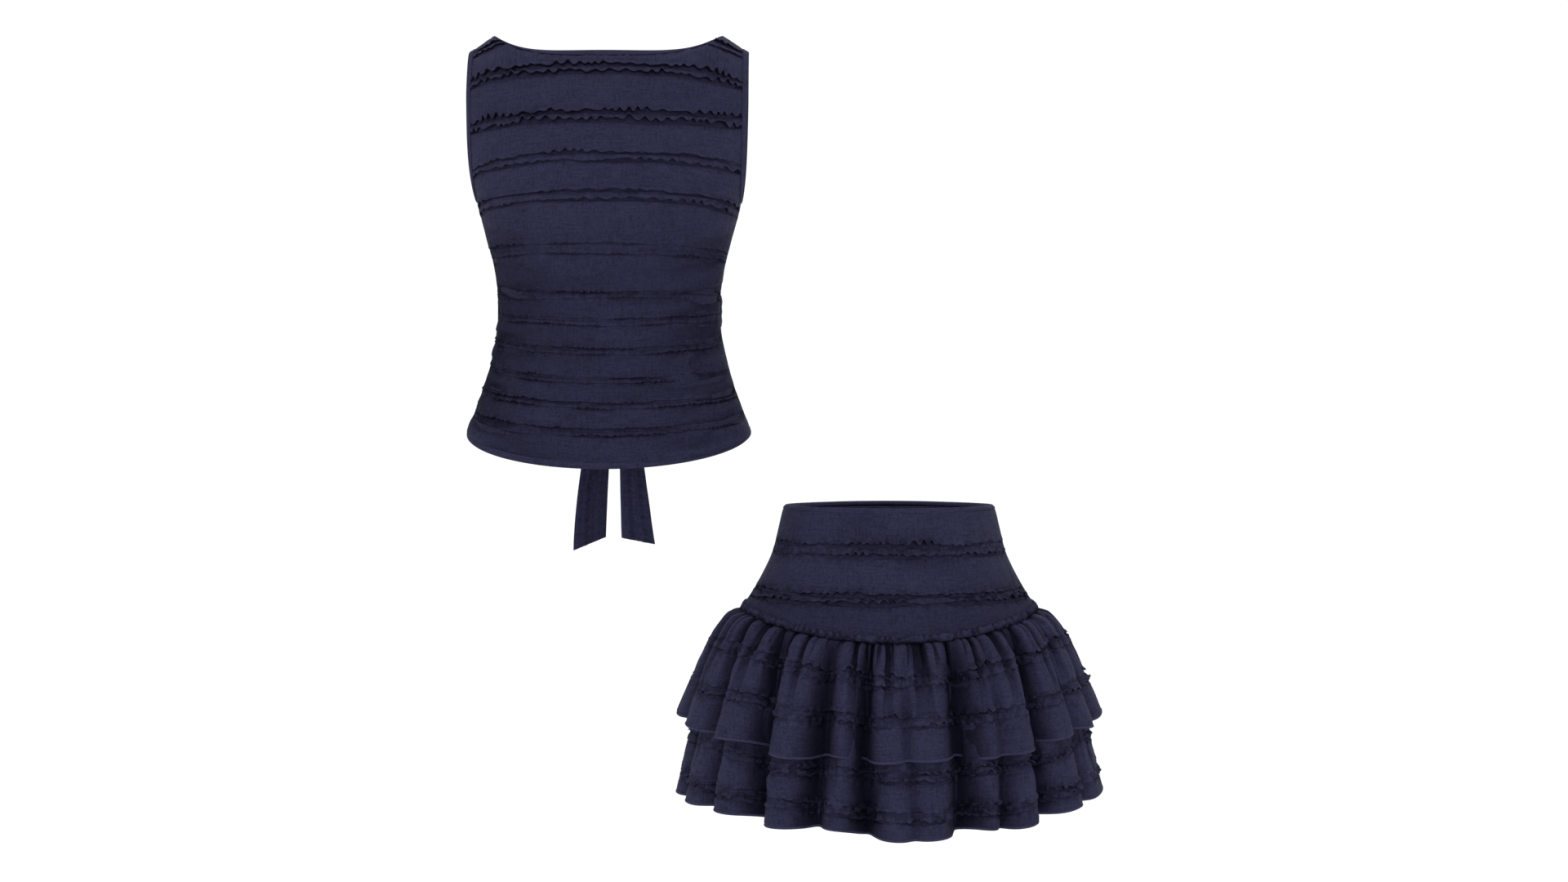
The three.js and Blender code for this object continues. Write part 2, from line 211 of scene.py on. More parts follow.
def pointsAt(dense, lengths, along):               # points of every column at its own distances
    out = np.empty(along.shape + (3,))
    for j in range(along.shape[1]):
        for k in range(3):
            out[:, j, k] = np.interp(along[:, j], lengths[:, j], dense[:, j, k])
    return out


# A tuck is a fold sewn across the cloth whose lower lip hangs free and frills. From below the lip to above
# the stitching: distance up, lift off the cloth, share of the frill, and painted shade in the hollow
# (negative values: a painted highlight on the lip's rim).
fullTuck = [(-6.2, 0.0, 0.0, 0.0), (-4.6, -0.3, 0.0, 0.35), (-3.2, -0.9, 0.1, 0.95), (-1.6, -1.1, 0.5, 1.0),
            (-1.0, 0.2, 0.95, 1.0), (-1.8, 0.78, 1.0, 0.75), (-2.0, 1.0, 1.0, 0.05),
            (-0.9, 1.06, 0.95, -0.12), (0.8, 0.8, 0.6, -0.06), (2.6, 0.4, 0.3, 0.0), (5.2, 0.0, 0.0, 0.0)]
softTuck = [(-4.4, 0.0, 0.0, 0.0), (-1.9, -0.6, 0.1, 0.35), (-0.9, -0.1, 0.5, 0.6), (-1.6, 0.8, 1.0, 0.2),
            (-0.9, 1.0, 0.9, 0.0), (1.0, 0.6, 0.3, 0.0), (3.4, 0.0, 0.0, 0.0)]


# Lays a sheet of cloth over a dense base (rows bottom to top) with tucks across it.
# tucks: dictionaries with along (distance up every column), lift, frill, spacing, seed and shape.
def tuckedCloth(name, dense, tucks, plan):
    lengths = runLengths(dense)
    top = lengths[-1]
    cols = dense.shape[1]
    across = runLengths(np.swapaxes(dense, 0, 1)[:, dense.shape[0] // 2][:, None])[:, 0]
    tucks = sorted(tucks, key=lambda t: t["along"].mean())
    bounds = [np.zeros(cols)] + [t["along"] for t in tucks] + [top]
    rows = []                                      # (along, inner along, lift, puff, fold) for every column
    blank = np.zeros(cols)

    def plainRows(low, high, lowPad, highPad):
        start, stop = low + lowPad, np.maximum(high - highPad, low + lowPad + 0.4)
        n = max(int(round(float(np.mean(stop - start)) / plan["step"])), 2)
        first = 0 if lowPad is blank else 1
        last = n + 1 if highPad is blank else n
        for k in range(first, last):
            spot = mix(start, stop, k / n)
            share = np.clip((spot - low) / np.maximum(high - low, 1), 0, 1)
            rows.append((spot, spot, blank, share, blank))

    pads, pleats = [], []
    for i, tuck in enumerate(tucks):
        shape = tuck["shape"]
        below = np.clip((bounds[i + 1] - bounds[i]) / (2.1 * -shape[0][0]), 0.05, 1)
        above = np.clip((bounds[i + 2] - bounds[i + 1]) / (2.1 * shape[-1][0]), 0.05, 1)
        pads.append((-shape[0][0] * below, shape[-1][0] * above, below, above))
    lowPad = blank
    for i, tuck in enumerate(tucks):
        downPad, upPad, below, above = pads[i]
        plainRows(bounds[i], bounds[i + 1], lowPad, downPad)
        shape = tuck["shape"]
        inside = easeIn(top - tuck["along"], 1.0, 12.0) * easeIn(tuck["along"], 1.0, 8.0)
        strength = np.clip(1 - tuck["fade"] * (0.5 - unevenLine(tuck["seed"] + 5, 38)(across)), 0.12, 1.4)
        notch = notches(tuck["seed"], tuck["spacing"])(across) * inside * np.minimum(strength, 1.2)
        lift = tuck["lift"] * inside * strength
        wander = 0.5 * unevenLine(tuck["seed"] + 9, 26)(across)
        wander = wander + 0.3 * unevenLine(tuck["seed"] + 10, 9)(across)
        wander *= (1.0 + 0.42 * tuck["frill"]) * inside
        for k, (up, out, share, dark) in enumerate(shape):
            room = below if up < 0 else above
            spot = tuck["along"] + up * room + wander * (1 - abs(up) / 7) + share * notch * tuck["frill"]
            innerSpot = tuck["along"] + mix(-downPad, upPad, k / (len(shape) - 1))
            flare = 0.75 + 0.45 * notch if share > 0.3 else 1.0
            # painted shade in the hollow under each lip; rows with negative darkness get a painted highlight
            # on the lip's rim
            shade = dark * inside * np.clip(1.2 * strength, 0, 1.1) * (0.8 + 0.35 * notch)
            rows.append((spot, innerSpot, lift * out * flare, blank, shade))
        pleat = notches(tuck["seed"] + 60, 4.6, 0.8)(across) * inside * np.clip(strength, 0.3, 1.2)
        pleats.append((tuck["along"], tuck.get("pleat", 0.0) * pleat))
        lowPad = upPad
    plainRows(bounds[-2], bounds[-1], lowPad, blank)

    along, inAlong, lift, puff, fold = (np.array([r[k] for r in rows]) for k in range(5))
    along, inAlong = np.clip(along, 0, top), np.clip(inAlong, 0, top)
    base = pointsAt(dense, lengths, inAlong)
    up = unit(pointsAt(dense, lengths, np.minimum(inAlong + 2, top)) - pointsAt(dense, lengths, inAlong - 2))
    side = unit(np.gradient(base, axis=1))
    out = unit(np.cross(side, up))
    flatU = np.broadcast_to(across, along.shape)
    border = easeIn(top - along, 0, plan["border"]) * easeIn(along, 0, plan["border"])
    edge = np.minimum(across, across[-1] - across)
    sideFade = mix(plan["seam"], 1.0, easeIn(edge, 2, plan["seamFade"]))
    sideShade = mix(0.5, 1.0, easeIn(edge, 0.5, 10))
    drop = lift * sideFade
    calm = mix(0.08, 1.0, easeIn(edge, 4, 34))
    drop += plan["puff"](flatU, along, across[-1]) * np.sin(np.pi * puff ** 0.66) * border * calm
    noise = 0.55 * unevenCloth(plan["seed"], 34, 13)(flatU, along)
    noise += 0.3 * unevenCloth(plan["seed"] + 1, 9, 26)(flatU, along)
    noise += 0.22 * unevenCloth(plan["seed"] + 2, 2.6, 15)(flatU, along)
    drop += plan["wobble"] * noise * border * sideFade
    spots = unevenCloth(plan["seed"] + 6, 4.6, 3.8)(flatU, along)
    for line, pleat in pleats:                     # small upright pleats and knots that each tuck draws in
        near = np.exp(-(np.abs(along - line + 1.5) / 7.5) ** 2.2) * border
        drop += near * (plan["knots"] * spots - pleat) * sideFade
        # painted shade in the pleats and in the hollows between knots, and a little painted light on the
        # raised knots
        fold = fold + near * (0.34 * pleat + 0.3 * plan["knots"] * np.clip(-spots, -0.3, 1))
    # the plan's folds give a swell of the cloth and a painted shade
    swell, shade = plan["folds"](flatU, along, across[-1])
    drop += swell * border * mix(0.06, 1.0, easeIn(edge, 4, 40))
    drop *= plan["press"](base)
    drop -= plan["groove"] * (1 - easeIn(edge, 0, 3.5))
    outer = pointsAt(dense, lengths, along) + out * drop[..., None]
    inner = (base - out * plan["thick"])[:, ::plan["coarse"]]
    rise = np.linalg.norm(np.diff(outer, axis=0), axis=-1)
    middle = np.concatenate([[0], np.cumsum(rise[:, cols // 2])])
    flat = np.stack([flatU, np.broadcast_to(middle[:, None], along.shape)], -1)
    # the fold mark: the tucks' painted shade, eased near the side seams, plus the plan's painted shade
    thing = clothMesh(name, outer, inner, flat, np.clip(fold * sideShade + shade, -0.25, 1))
    return {"thing": thing, "outer": outer, "out": out, "up": up, "base": base, "dense": dense,
            "cut": cutSize(outer)}


def cutSize(grid):                                 # flat width, length and area of a sheet, in metres
    wide = np.linalg.norm(np.diff(grid, axis=1), axis=-1)
    tall = np.linalg.norm(np.diff(grid, axis=0), axis=-1)
    corner = np.cross(grid[1:, :-1] - grid[:-1, :-1], grid[:-1, 1:] - grid[:-1, :-1])
    area = np.linalg.norm(corner, axis=-1).sum() * mm * mm
    width, length = wide.sum(1).max() * mm, tall.sum(0).max() * mm
    return width, length, max(min(area, width * length), 0.3 * width * length)


# a thin sheet about a middle surface (rows x columns), its edges thinner than its middle
def thinSheet(name, grid, thick, fold=None, edgeShare=0.35):
    rows, cols = grid.shape[:2]
    side, up = np.gradient(grid, axis=1), np.gradient(grid, axis=0)
    out = unit(np.cross(side, up))
    w = np.abs(np.linspace(-1, 1, cols)) ** 6
    half = 0.5 * thick * (1 - (1 - edgeShare) * w)[None, :, None]
    run = runLengths(np.swapaxes(grid, 0, 1))[:, rows // 2]
    rise = runLengths(grid)[:, cols // 2]
    flat = np.stack(np.broadcast_arrays(run[None, :], rise[:, None]), -1)
    thing = clothMesh(name, grid + out * half, grid - out * half, flat, fold)
    return {"thing": thing, "outer": grid, "out": out, "cut": cutSize(grid)}


# rings of points joined into a closed tube; an open run gets a flat cap at each end
def ringMesh(name, rings, around=True, extra=None):
    rows, cols = rings.shape[:2]
    ids = np.arange(rows * cols).reshape(rows, cols)
    ids = np.hstack([ids, ids[:, :1]])
    closed = np.concatenate([rings, rings[:, :1]], 1)
    if around:
        ids = np.vstack([ids, ids[:1]])
        closed = np.concatenate([closed, closed[:1]], 0)
    run, girth = runLengths(closed)[:, 0], runLengths(np.swapaxes(closed, 0, 1))[:, 0]
    flat = np.stack(np.broadcast_arrays(run[:, None], girth[None, :]), -1).reshape(-1, 2)
    faces = [gridFaces(ids)]
    uv = [flat[gridFaces(np.arange(len(flat)).reshape(closed.shape[:2])).ravel()]]
    points = rings.reshape(-1, 3)
    if not around:
        for row, step in ((0, -1), (rows - 1, 1)):
            cap = (np.arange(cols) + row * cols)[::step][None]
            faces.append(cap)
            uv.append(np.zeros((cols, 2)))
    a, b, c = (closed[:-1, :-1].reshape(-1, 3), closed[:-1, 1:].reshape(-1, 3), closed[1:, 1:].reshape(-1, 3))
    centre = points.mean(0)
    if np.einsum("ij,ij->", a - centre, np.cross(b - centre, c - centre)) < 0:
        faces = [f[:, ::-1] for f in faces]
        uv = [u.reshape(f.shape + (2,))[:, ::-1].reshape(-1, 2) for u, f in zip(uv, faces)]
    shadeMarks = np.zeros(len(points))
    if extra is not None:                          # stitches: their own points and faces
        extraPoints, extraFaces = extra
        faces.append(extraFaces + len(points))
        uv.append(np.tile([[2.0, 2.0]], (extraFaces.size, 1)))
        points = np.concatenate([points, extraPoints])
        # the stitches get a negative shade mark, which paints them lighter and glossier
        shadeMarks = np.concatenate([shadeMarks, np.full(len(extraPoints), -0.7)])
    return makeMesh(name, points, faces, uv, shadeMarks)


# a row of thread stitches along a path: each is a short bar with pinched ends
def stitchRow(path, across, out, drop, lift, pitch=3.2, length=2.1, thread=0.55):
    run = runLengths(np.concatenate([path, path[:1]])[:, None])[:, 0]
    line = np.concatenate([path, path[:1]])
    spots = np.arange(0, run[-1] - length, pitch)
    ends = []
    for shift in (0, length * 0.25, length * 0.75, length):
        at = np.stack([np.interp(spots + shift, run, line[:, k]) for k in range(3)], -1)
        near = np.searchsorted(run, spots + shift).clip(0, len(path)) % len(path)
        lip = 0.12 if shift in (0, length) else 0.5
        centre = at + across[near] * drop + out[near] * lift
        ends.append(np.stack([centre + across[near] * a * thread * lip + out[near] * b * thread * lip
                              for a, b in ((-1, 0), (0, 1), (1, 0), (0, -1))], 1))
    points = np.stack(ends, 1)                     # stitch, station, corner
    n = len(spots)
    ids = np.arange(n * 16).reshape(n, 4, 4)
    faces = []
    for k in range(3):
        for c in range(4):
            d = (c + 1) % 4
            faces.append(np.stack([ids[:, k, c], ids[:, k, d], ids[:, k + 1, d], ids[:, k + 1, c]], -1))
    faces += [ids[:, 0, ::-1], ids[:, 3]]
    faces = np.concatenate(faces)
    flatPoints = points.reshape(-1, 3)
    one = points[0]
    centre = one.reshape(-1, 3).mean(0)
    a, b, c = one[1, 0] - centre, one[1, 1] - centre, one[2, 1] - centre
    if np.dot(a, np.cross(b, c)) < 0:
        faces = faces[:, ::-1]
    return flatPoints, faces


# an edge finish swept along a closed path: shape gives (distance in from the edge, lift) round its section
def edgeBand(name, path, inward, out, shape, stitch=None):
    shape = np.array(shape)
    rings = path[:, None] + inward[:, None] * shape[None, :, :1] + out[:, None] * shape[None, :, 1:]
    extra = None if stitch is None else stitchRow(path, inward, out, *stitch)
    return ringMesh(name, rings, True, extra)


def evenPath(points, step, *others):               # resample a closed path and what goes with it
    loop = [np.concatenate([a, a[:1]]) for a in (points,) + others]
    run = runLengths(loop[0][:, None])[:, 0]
    at = np.linspace(0, run[-1], max(int(run[-1] / step), 8), endpoint=False)
    return [np.stack([np.interp(at, run, a[:, k]) for k in range(3)], -1) for a in loop]


def smoothPath(values, times):
    for _ in range(times):
        values = (np.roll(values, 1, 0) + 2 * values + np.roll(values, -1, 0)) / 4
    return values


# materials

def link(tree, start, end):
    tree.links.new(start, end)


def mathNode(tree, operation, a, b=None, clamp=False):
    node = tree.nodes.new("ShaderNodeMath")
    node.operation = operation
    node.use_clamp = clamp
    for socket, value in zip(node.inputs, (a, b)):
        if value is None:
            continue
        if isinstance(value, (int, float)):
            socket.default_value = value
        else:
            link(tree, value, socket)
    return node.outputs[0]


def mixColour(tree, factor, low, high):
    node = tree.nodes.new("ShaderNodeMix")
    node.data_type = "RGBA"
    for socket, value in ((node.inputs[0], factor), (node.inputs[6], low), (node.inputs[7], high)):
        if isinstance(value, (int, float, tuple)):
            socket.default_value = value
        else:
            link(tree, value, socket)
    return node.outputs[2]


def stretchedNoise(tree, vector, across, along, detail=2.0, roughness=0.5):   # spots across by along mm
    size = tree.nodes.new("ShaderNodeVectorMath")
    size.operation = "MULTIPLY"
    size.inputs[1].default_value = (1 / (across * mm), 1 / (along * mm), 1)
    link(tree, vector, size.inputs[0])
    noise = tree.nodes.new("ShaderNodeTexNoise")
    noise.inputs["Scale"].default_value = 1
    noise.inputs["Detail"].default_value = detail
    noise.inputs["Roughness"].default_value = roughness
    link(tree, size.outputs[0], noise.inputs["Vector"])
    return noise.outputs[0]


def weaveGroup():                                  # crinkle ribs, slubs and threads of double gauze
    group = bpy.data.node_groups.new("gauzeWeave", "ShaderNodeTree")
    face = group.interface
    for name, kind, value in (("Vector", "NodeSocketVector", None), ("Rib width", "NodeSocketFloat", 3.4),
                              ("Thread", "NodeSocketFloat", 0.75)):
        socket = face.new_socket(name=name, in_out="INPUT", socket_type=kind)
        if value is not None:
            socket.default_value = value
    for name in ("Shade", "Height"):
        face.new_socket(name=name, in_out="OUTPUT", socket_type="NodeSocketFloat")
    start = group.nodes.new("NodeGroupInput")
    end = group.nodes.new("NodeGroupOutput")
    split = group.nodes.new("ShaderNodeSeparateXYZ")
    link(group, start.outputs["Vector"], split.inputs[0])
    ribSize = mathNode(group, "DIVIDE", 3.4, start.outputs["Rib width"])
    scaled = group.nodes.new("ShaderNodeVectorMath")
    scaled.operation = "SCALE"
    link(group, start.outputs["Vector"], scaled.inputs[0])
    link(group, ribSize, scaled.inputs["Scale"])
    ribs = stretchedNoise(group, scaled.outputs[0], 2.6, 17, 2.5, 0.6)
    wave = mathNode(group, "SUBTRACT", mathNode(group, "MULTIPLY", ribs, 2.0), 1.0)
    ridge = mathNode(group, "ABSOLUTE", wave)
    ridge = mathNode(group, "SUBTRACT", 1.0, mathNode(group, "MULTIPLY", ridge, 2.6), True)
    slubs = stretchedNoise(group, start.outputs["Vector"], 19, 2.2, 2.5, 0.65)
    grains = stretchedNoise(group, start.outputs["Vector"], 3.4, 2.8, 2.5, 0.65)
    threads = []
    for axis in (0, 1):
        turn = mathNode(group, "DIVIDE", mathNode(group, "MULTIPLY", split.outputs[axis], 2000 * math.pi),
                        start.outputs["Thread"])
        threads.append(mathNode(group, "SINE", turn))
    weave = mathNode(group, "MULTIPLY", threads[0], threads[1])
    shade = mathNode(group, "MULTIPLY", weave, 0.05)
    for part, share in ((ridge, 0.5), (slubs, 1.6), (grains, 1.8)):
        shade = mathNode(group, "ADD", shade, mathNode(group, "MULTIPLY", part, share))
    link(group, mathNode(group, "SUBTRACT", shade, 1.38, True), end.inputs["Shade"])
    height = mathNode(group, "MULTIPLY", weave, 0.07)
    for part, share in ((ridge, 0.42), (slubs, 0.4), (grains, 0.34)):
        height = mathNode(group, "ADD", height, mathNode(group, "MULTIPLY", part, share))
    link(group, height, end.inputs["Height"])
    return group


gauzeWeave = weaveGroup()

# each look runs from its deep colour to its lit colour by the weave's tone; the painted shade of the fold
# mark pulls it toward the deep colour
clothLooks = {
    "gauzeTop": {"deep": (0.0046, 0.0047, 0.0098), "lit": (0.0238, 0.0250, 0.0612), "rib": 3.4, "bump": 0.9},
    "gauzeSkirt": {"deep": (0.0044, 0.0045, 0.0090), "lit": (0.0246, 0.0256, 0.0628), "rib": 3.4,
                   "bump": 0.9},
    # the ties use a lighter copy of the same navy gauze: painted light, with their own finer ribs
    "gauzeTie": {"deep": (0.0046, 0.0048, 0.0100), "lit": (0.0350, 0.0364, 0.0880), "rib": 2.6, "bump": 0.7},
    # the rolled hems use a lighter copy of the skirt gauze: a painted highlight along the hem edges
    "gauzeHemHighlight": {"deep": (0.0090, 0.0095, 0.0200), "lit": (0.0330, 0.0345, 0.0780), "rib": 2.0, "bump": 0.5},
    "lining": {"deep": (0.0050, 0.0052, 0.0095), "lit": (0.0165, 0.0172, 0.0380), "rib": 1.2, "bump": 0.3},
    "stayTape": {"deep": (0.0070, 0.0072, 0.0100), "lit": (0.0200, 0.0205, 0.0300), "rib": 0.9, "bump": 0.2},
    "elastic": {"deep": (0.0120, 0.0120, 0.0150), "lit": (0.0320, 0.0320, 0.0400), "rib": 1.3, "bump": 0.5},
    "label": {"deep": (0.4600, 0.4600, 0.4700), "lit": (0.7400, 0.7400, 0.7600), "rib": 0.8, "bump": 0.12},
}


def clothMaterial(name, look):
    material = bpy.data.materials.new(name)
    material.use_nodes = True
    tree = material.node_tree
    shader = tree.nodes["Principled BSDF"]
    uv = tree.nodes.new("ShaderNodeUVMap")
    uv.uv_map = "cloth"
    weave = tree.nodes.new("ShaderNodeGroup")
    weave.node_tree = gauzeWeave
    link(tree, uv.outputs[0], weave.inputs["Vector"])
    weave.inputs["Rib width"].default_value = look["rib"]
    patches = stretchedNoise(tree, uv.outputs[0], 60, 45, 3.0, 0.55)
    tone = mathNode(tree, "ADD", mathNode(tree, "MULTIPLY", weave.outputs["Shade"], 0.62),
                    mathNode(tree, "MULTIPLY", patches, 0.42))
    # painted shade: the fold mark darkens the colour toward the look's deep colour
    shadeMark = tree.nodes.new("ShaderNodeAttribute")
    shadeMark.attribute_name = "fold"
    keep = mathNode(tree, "SUBTRACT", 1.0, mathNode(tree, "MULTIPLY", shadeMark.outputs["Fac"], 0.95))
    tone = mathNode(tree, "MULTIPLY", tone, keep, True)
    colour = mixColour(tree, tone, look["deep"] + (1,), look["lit"] + (1,))
    link(tree, colour, shader.inputs["Base Color"])
    rough = mathNode(tree, "ADD", 0.9, mathNode(tree, "MULTIPLY", weave.outputs["Height"], -0.08))
    link(tree, rough, shader.inputs["Roughness"])
    bump = tree.nodes.new("ShaderNodeBump")
    bump.inputs["Strength"].default_value = 0.8
    bump.inputs["Distance"].default_value = look["bump"] * mm
    link(tree, weave.outputs["Height"], bump.inputs["Height"])
    link(tree, bump.outputs[0], shader.inputs["Normal"])
    # painted shade on the gloss: sheen and specular drop where the fold mark is high
    link(tree, mathNode(tree, "MULTIPLY", keep, 0.02, True), shader.inputs["Sheen Weight"])
    shader.inputs["Sheen Roughness"].default_value = 0.4
    shader.inputs["Sheen Tint"].default_value = (0.45, 0.5, 0.9, 1)
    link(tree, mathNode(tree, "MULTIPLY", keep, 0.12, True), shader.inputs["Specular IOR Level"])
    return material


finishes = {name: clothMaterial(name, look) for name, look in clothLooks.items()}
print("materials made")


def finishPiece(thing, body, finish, nodes):
    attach(thing, body)
    thing.data.materials.append(finishes[finish])
    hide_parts(*nodes)
    return thing


# the top

topX = -325
topPlan = {
    "hemZ": 86, "hemDip": {"front": 42, "back": 39}, "underarmZ": 350, "armholeFullZ": 430, "chestZ": 470,
    "armholeCut": 66, "sideAngle": 90.2,
    "peak": (134, 543.4), "shoulder": (161.5, 526),
    "neck": {"front": (515.5, 72), "back": (522, 66)},
    "halfWidth": [(40, 172), (86, 164), (130, 148), (170, 136.3), (212, 129.2), (260, 131), (300, 140),
                  (350, 153), (400, 158), (526, 161.5)],
    "depth": {"front": [(40, 104), (86, 101), (226, 84), (350, 104), (400, 110), (470, 99)],
              "back": [(40, 106), (86, 102), (226, 79), (350, 90), (400, 93), (470, 84)]},
    "columns": 257,
}
strapPlan = {"z": (226, 222), "width": (36, 22), "lift": 3.1, "thick": 2.2, "creases": 3}


def edgeAngle(z):                                  # from the centre to the side seam or the armhole
    rise = np.clip((z - topPlan["underarmZ"]) / (topPlan["armholeFullZ"] - topPlan["underarmZ"]), 0, 1)
    cosine = math.cos(math.radians(topPlan["armholeCut"])) * np.sqrt(1 - (1 - rise) ** 2)
    side = math.radians(topPlan["sideAngle"])
    return np.where(z <= topPlan["underarmZ"], side, np.minimum(np.arccos(cosine), side))


def bodyPoint(part, s, z):
    s, z = np.broadcast_arrays(np.asarray(s, float), np.asarray(z, float))
    edge = edgeAngle(z)
    angle = s * edge
    x = follow(topPlan["halfWidth"], z) / np.sin(edge) * np.sin(angle)
    hand = -1 if part == "front" else 1
    return np.stack([topX + x, hand * follow(topPlan["depth"][part], z) * np.cos(angle), z], -1)


def upperEdge(part, s):                            # neckline, then the shoulder seam from its peak
    hand = -1 if part == "front" else 1
    cut = math.radians(topPlan["armholeCut"])
    (peakX, peakZ), (endX, endZ) = topPlan["peak"], topPlan["shoulder"]
    x = endX * np.sin(s * cut) / math.sin(cut)
    reach = np.abs(x)
    t = np.clip(reach / peakX, 0, 1)
    neckZ, neckDepth = topPlan["neck"][part]
    neckCurve = mix(neckZ, peakZ, t ** 4.2)
    seamLine = mix(peakZ, endZ, (reach - peakX) / (endX - peakX))
    y = hand * neckDepth * np.sqrt(1 - t * t)
    return np.stack([topX + x, y, np.where(reach < peakX, neckCurve, seamLine)], -1)


def bodiceBase(part):                              # dense base of a panel, rows from the hem to the top
    s = np.linspace(-1, 1, topPlan["columns"]) * (1 if part == "front" else -1)
    edge = math.radians(topPlan["sideAngle"])
    dip = topPlan["hemDip"][part] * np.maximum(np.cos(s * edge), 0) ** 1.12
    hem = topPlan["hemZ"] - dip
    height = mix(hem[None, :], topPlan["chestZ"], np.linspace(0, 1, 260)[:, None])
    body = bodyPoint(part, s[None, :], height)
    low, high = body[-1], upperEdge(part, s)
    lean = easeIn(np.abs(high[:, 0] - topX), 0, topPlan["peak"][0])
    bend = np.stack([(low[:, 0] + high[:, 0]) / 2, mix(high[:, 1], low[:, 1], 0.62),
                     high[:, 2] - mix(20, 2, lean)], -1)
    t = np.linspace(0, 1, 90)[1:, None, None]
    cap = (1 - t) ** 2 * low + 2 * t * (1 - t) * bend + t * t * high
    return s, np.concatenate([body, cap])


# pairs of tucks across the top: height at the middle and at each side seam, the pair's gap, lift and frill
topTucks = [
    dict(z=(560, 521, 521), gap=6, lift=2.8, frill=3.4, fade=0.5, spacing=12, power=1.0,
         pleat=0.5, shape=fullTuck),
    dict(z=(499.6, 485.9, 485.9), gap=9.8, lift=4.4, frill=8.2, fade=0.25, spacing=15, power=2.2,
         pleat=0.9, shape=fullTuck),
    dict(z=(444.2, 435.2, 444.0), gap=9.6, lift=4.0, frill=6.8, fade=0.25, spacing=15, power=2.4,
         pleat=0.8, shape=fullTuck),
    dict(z=(397.8, 383.6, 390.2), gap=8.2, lift=3.0, frill=4.6, fade=0.5, spacing=16, power=2.2,
         pleat=0.4, shape=fullTuck),
    dict(z=(355.9, 343.3, 340.5), gap=8.8, lift=2.6, frill=3.6, fade=0.5, spacing=17, power=2.2,
         pleat=0.4, shape=fullTuck),
    dict(z=(297.4, 298.3, 291.7), gap=11, lift=2.0, frill=2.2, fade=0.9, spacing=10, power=2.0,
         pleat=0.5, shape=softTuck),
    dict(z=(243.3, 248.9, 246.0), gap=7, lift=1.8, frill=2.2, fade=0.8, spacing=8, power=2.0,
         pleat=0.6, shape=softTuck),
    dict(z=(212.9, 229.9, 226.0), gap=7.3, lift=1.4, frill=2.2, fade=1.0, spacing=7, power=2.0,
         pleat=0.6, shape=softTuck),
    dict(z=(178.8, 201.4, 197.6), gap=6.2, lift=1.4, frill=2.3, fade=1.0, spacing=7, power=1.8,
         pleat=0.6, shape=softTuck),
    dict(z=(145.6, 172.9, 162.5), gap=6.6, lift=1.5, frill=2.3, fade=1.0, spacing=7, power=1.7,
         pleat=0.6, shape=softTuck),
    dict(z=(117.1, 143.5, 135.9), gap=6.6, lift=1.6, frill=2.3, fade=1.0, spacing=7, power=1.7,
         pleat=0.6, shape=softTuck),
    dict(z=(87.8, 118.5, 113.5), gap=8, lift=1.7, frill=2.4, fade=1.0, spacing=7, power=1.7,
         pleat=0.6, shape=softTuck),
]


def heightLines(dense, s, pairs, seed):            # pairs of tucks laid at their heights on a base
    lengths = runLengths(dense)
    lines = []
    for i, pair in enumerate(pairs):
        middle, left, right = pair["z"]
        side = np.where(s < 0, left, right)
        height = middle + (side - middle) * np.abs(s) ** pair["power"]
        for k, drop in enumerate((0, pair["gap"])):
            goal = height - drop * (1 + 0.15 * unevenLine(seed + 40 + i, 60)(s * 150))
            along = np.array([np.interp(goal[j], dense[:, j, 2], lengths[:, j], right=lengths[-1, j] + 9)
                              for j in range(dense.shape[1])])
            along = np.minimum(along, lengths[-1] - 0.6 - 0.8 * (k == 1))
            lines.append(dict(pair, along=along, seed=seed + 7 * i + 3 * k))
    return lines


def topPuff(u, v, width):                          # swell between tucks, most low at the sides
    side = np.abs(u / width * 2 - 1)
    low = 1 - easeIn(v, 170, 260)
    sag = unevenCloth(77, 45, 17)(u, v)
    return 0.8 + (1.6 + 1.2 * sag) * low * easeIn(side, 0.3, 0.9)


def ruching(u, v, width):                          # soft folds drawn in by the elastic at the low side seams
    side = np.abs(u / width * 2 - 1)
    low = 1 - easeIn(v, 185, 300)
    pull = low * (0.25 + 0.75 * easeIn(side, 0.2, 0.8))
    swell = 5.0 * pull * unevenCloth(78, 58, 10)(u, v + 16 * side ** 2)
    # painted shade: darker low down, more toward the sides and on the left side, a little darker up at the
    # chest, darker in the folds' hollows and slightly lighter on their swells
    paintedSideShade = easeIn(side, 0.25, 0.8) * easeIn(v, 5, 40) * mix(1.4, 0.6, u / width)
    shade = 0.24 * low + 0.36 * low * paintedSideShade + 0.05 * easeIn(v, 330, 420)
    return swell, shade + np.clip(-0.08 * swell, -0.1, 0.3)


def ruchingBehind(u, v, width):                    # the same folds carried on across the side seams
    return ruching(width - u, v, width)


def unpressed(points):
    return 1.0


def underStrap(points):                            # the straps press the back panel flat
    share = np.clip(np.abs(points[..., 0] - topX) / 130, 0, 1)
    middle = mix(strapPlan["z"][1], strapPlan["z"][0], share)
    half = mix(strapPlan["width"][1], strapPlan["width"][0], share) / 2
    away = np.abs(points[..., 2] - middle) - half
    return mix(0.15, 1.0, easeIn(away, 0, 7))


panels = {}
for part, seed in (("front", 11), ("back", 211)):
    s, dense = bodiceBase(part)
    plan = {"step": 4.6, "border": 7, "thick": 1.4, "seed": seed, "wobble": 1.1, "knots": 0.5,
            "puff": topPuff, "coarse": 4, "folds": ruching if part == "front" else ruchingBehind,
            "seam": 0.06, "seamFade": 44, "groove": 0.5, "press": underStrap if part == "back" else unpressed}
    made = tuckedCloth("top%sPanel" % part.title(), dense, heightLines(dense, s, topTucks, seed), plan)
    panels[part] = made
    finishPiece(made["thing"], "top", "gauzeTop", ("top_%s_panel" % part,))
print("top panels made")

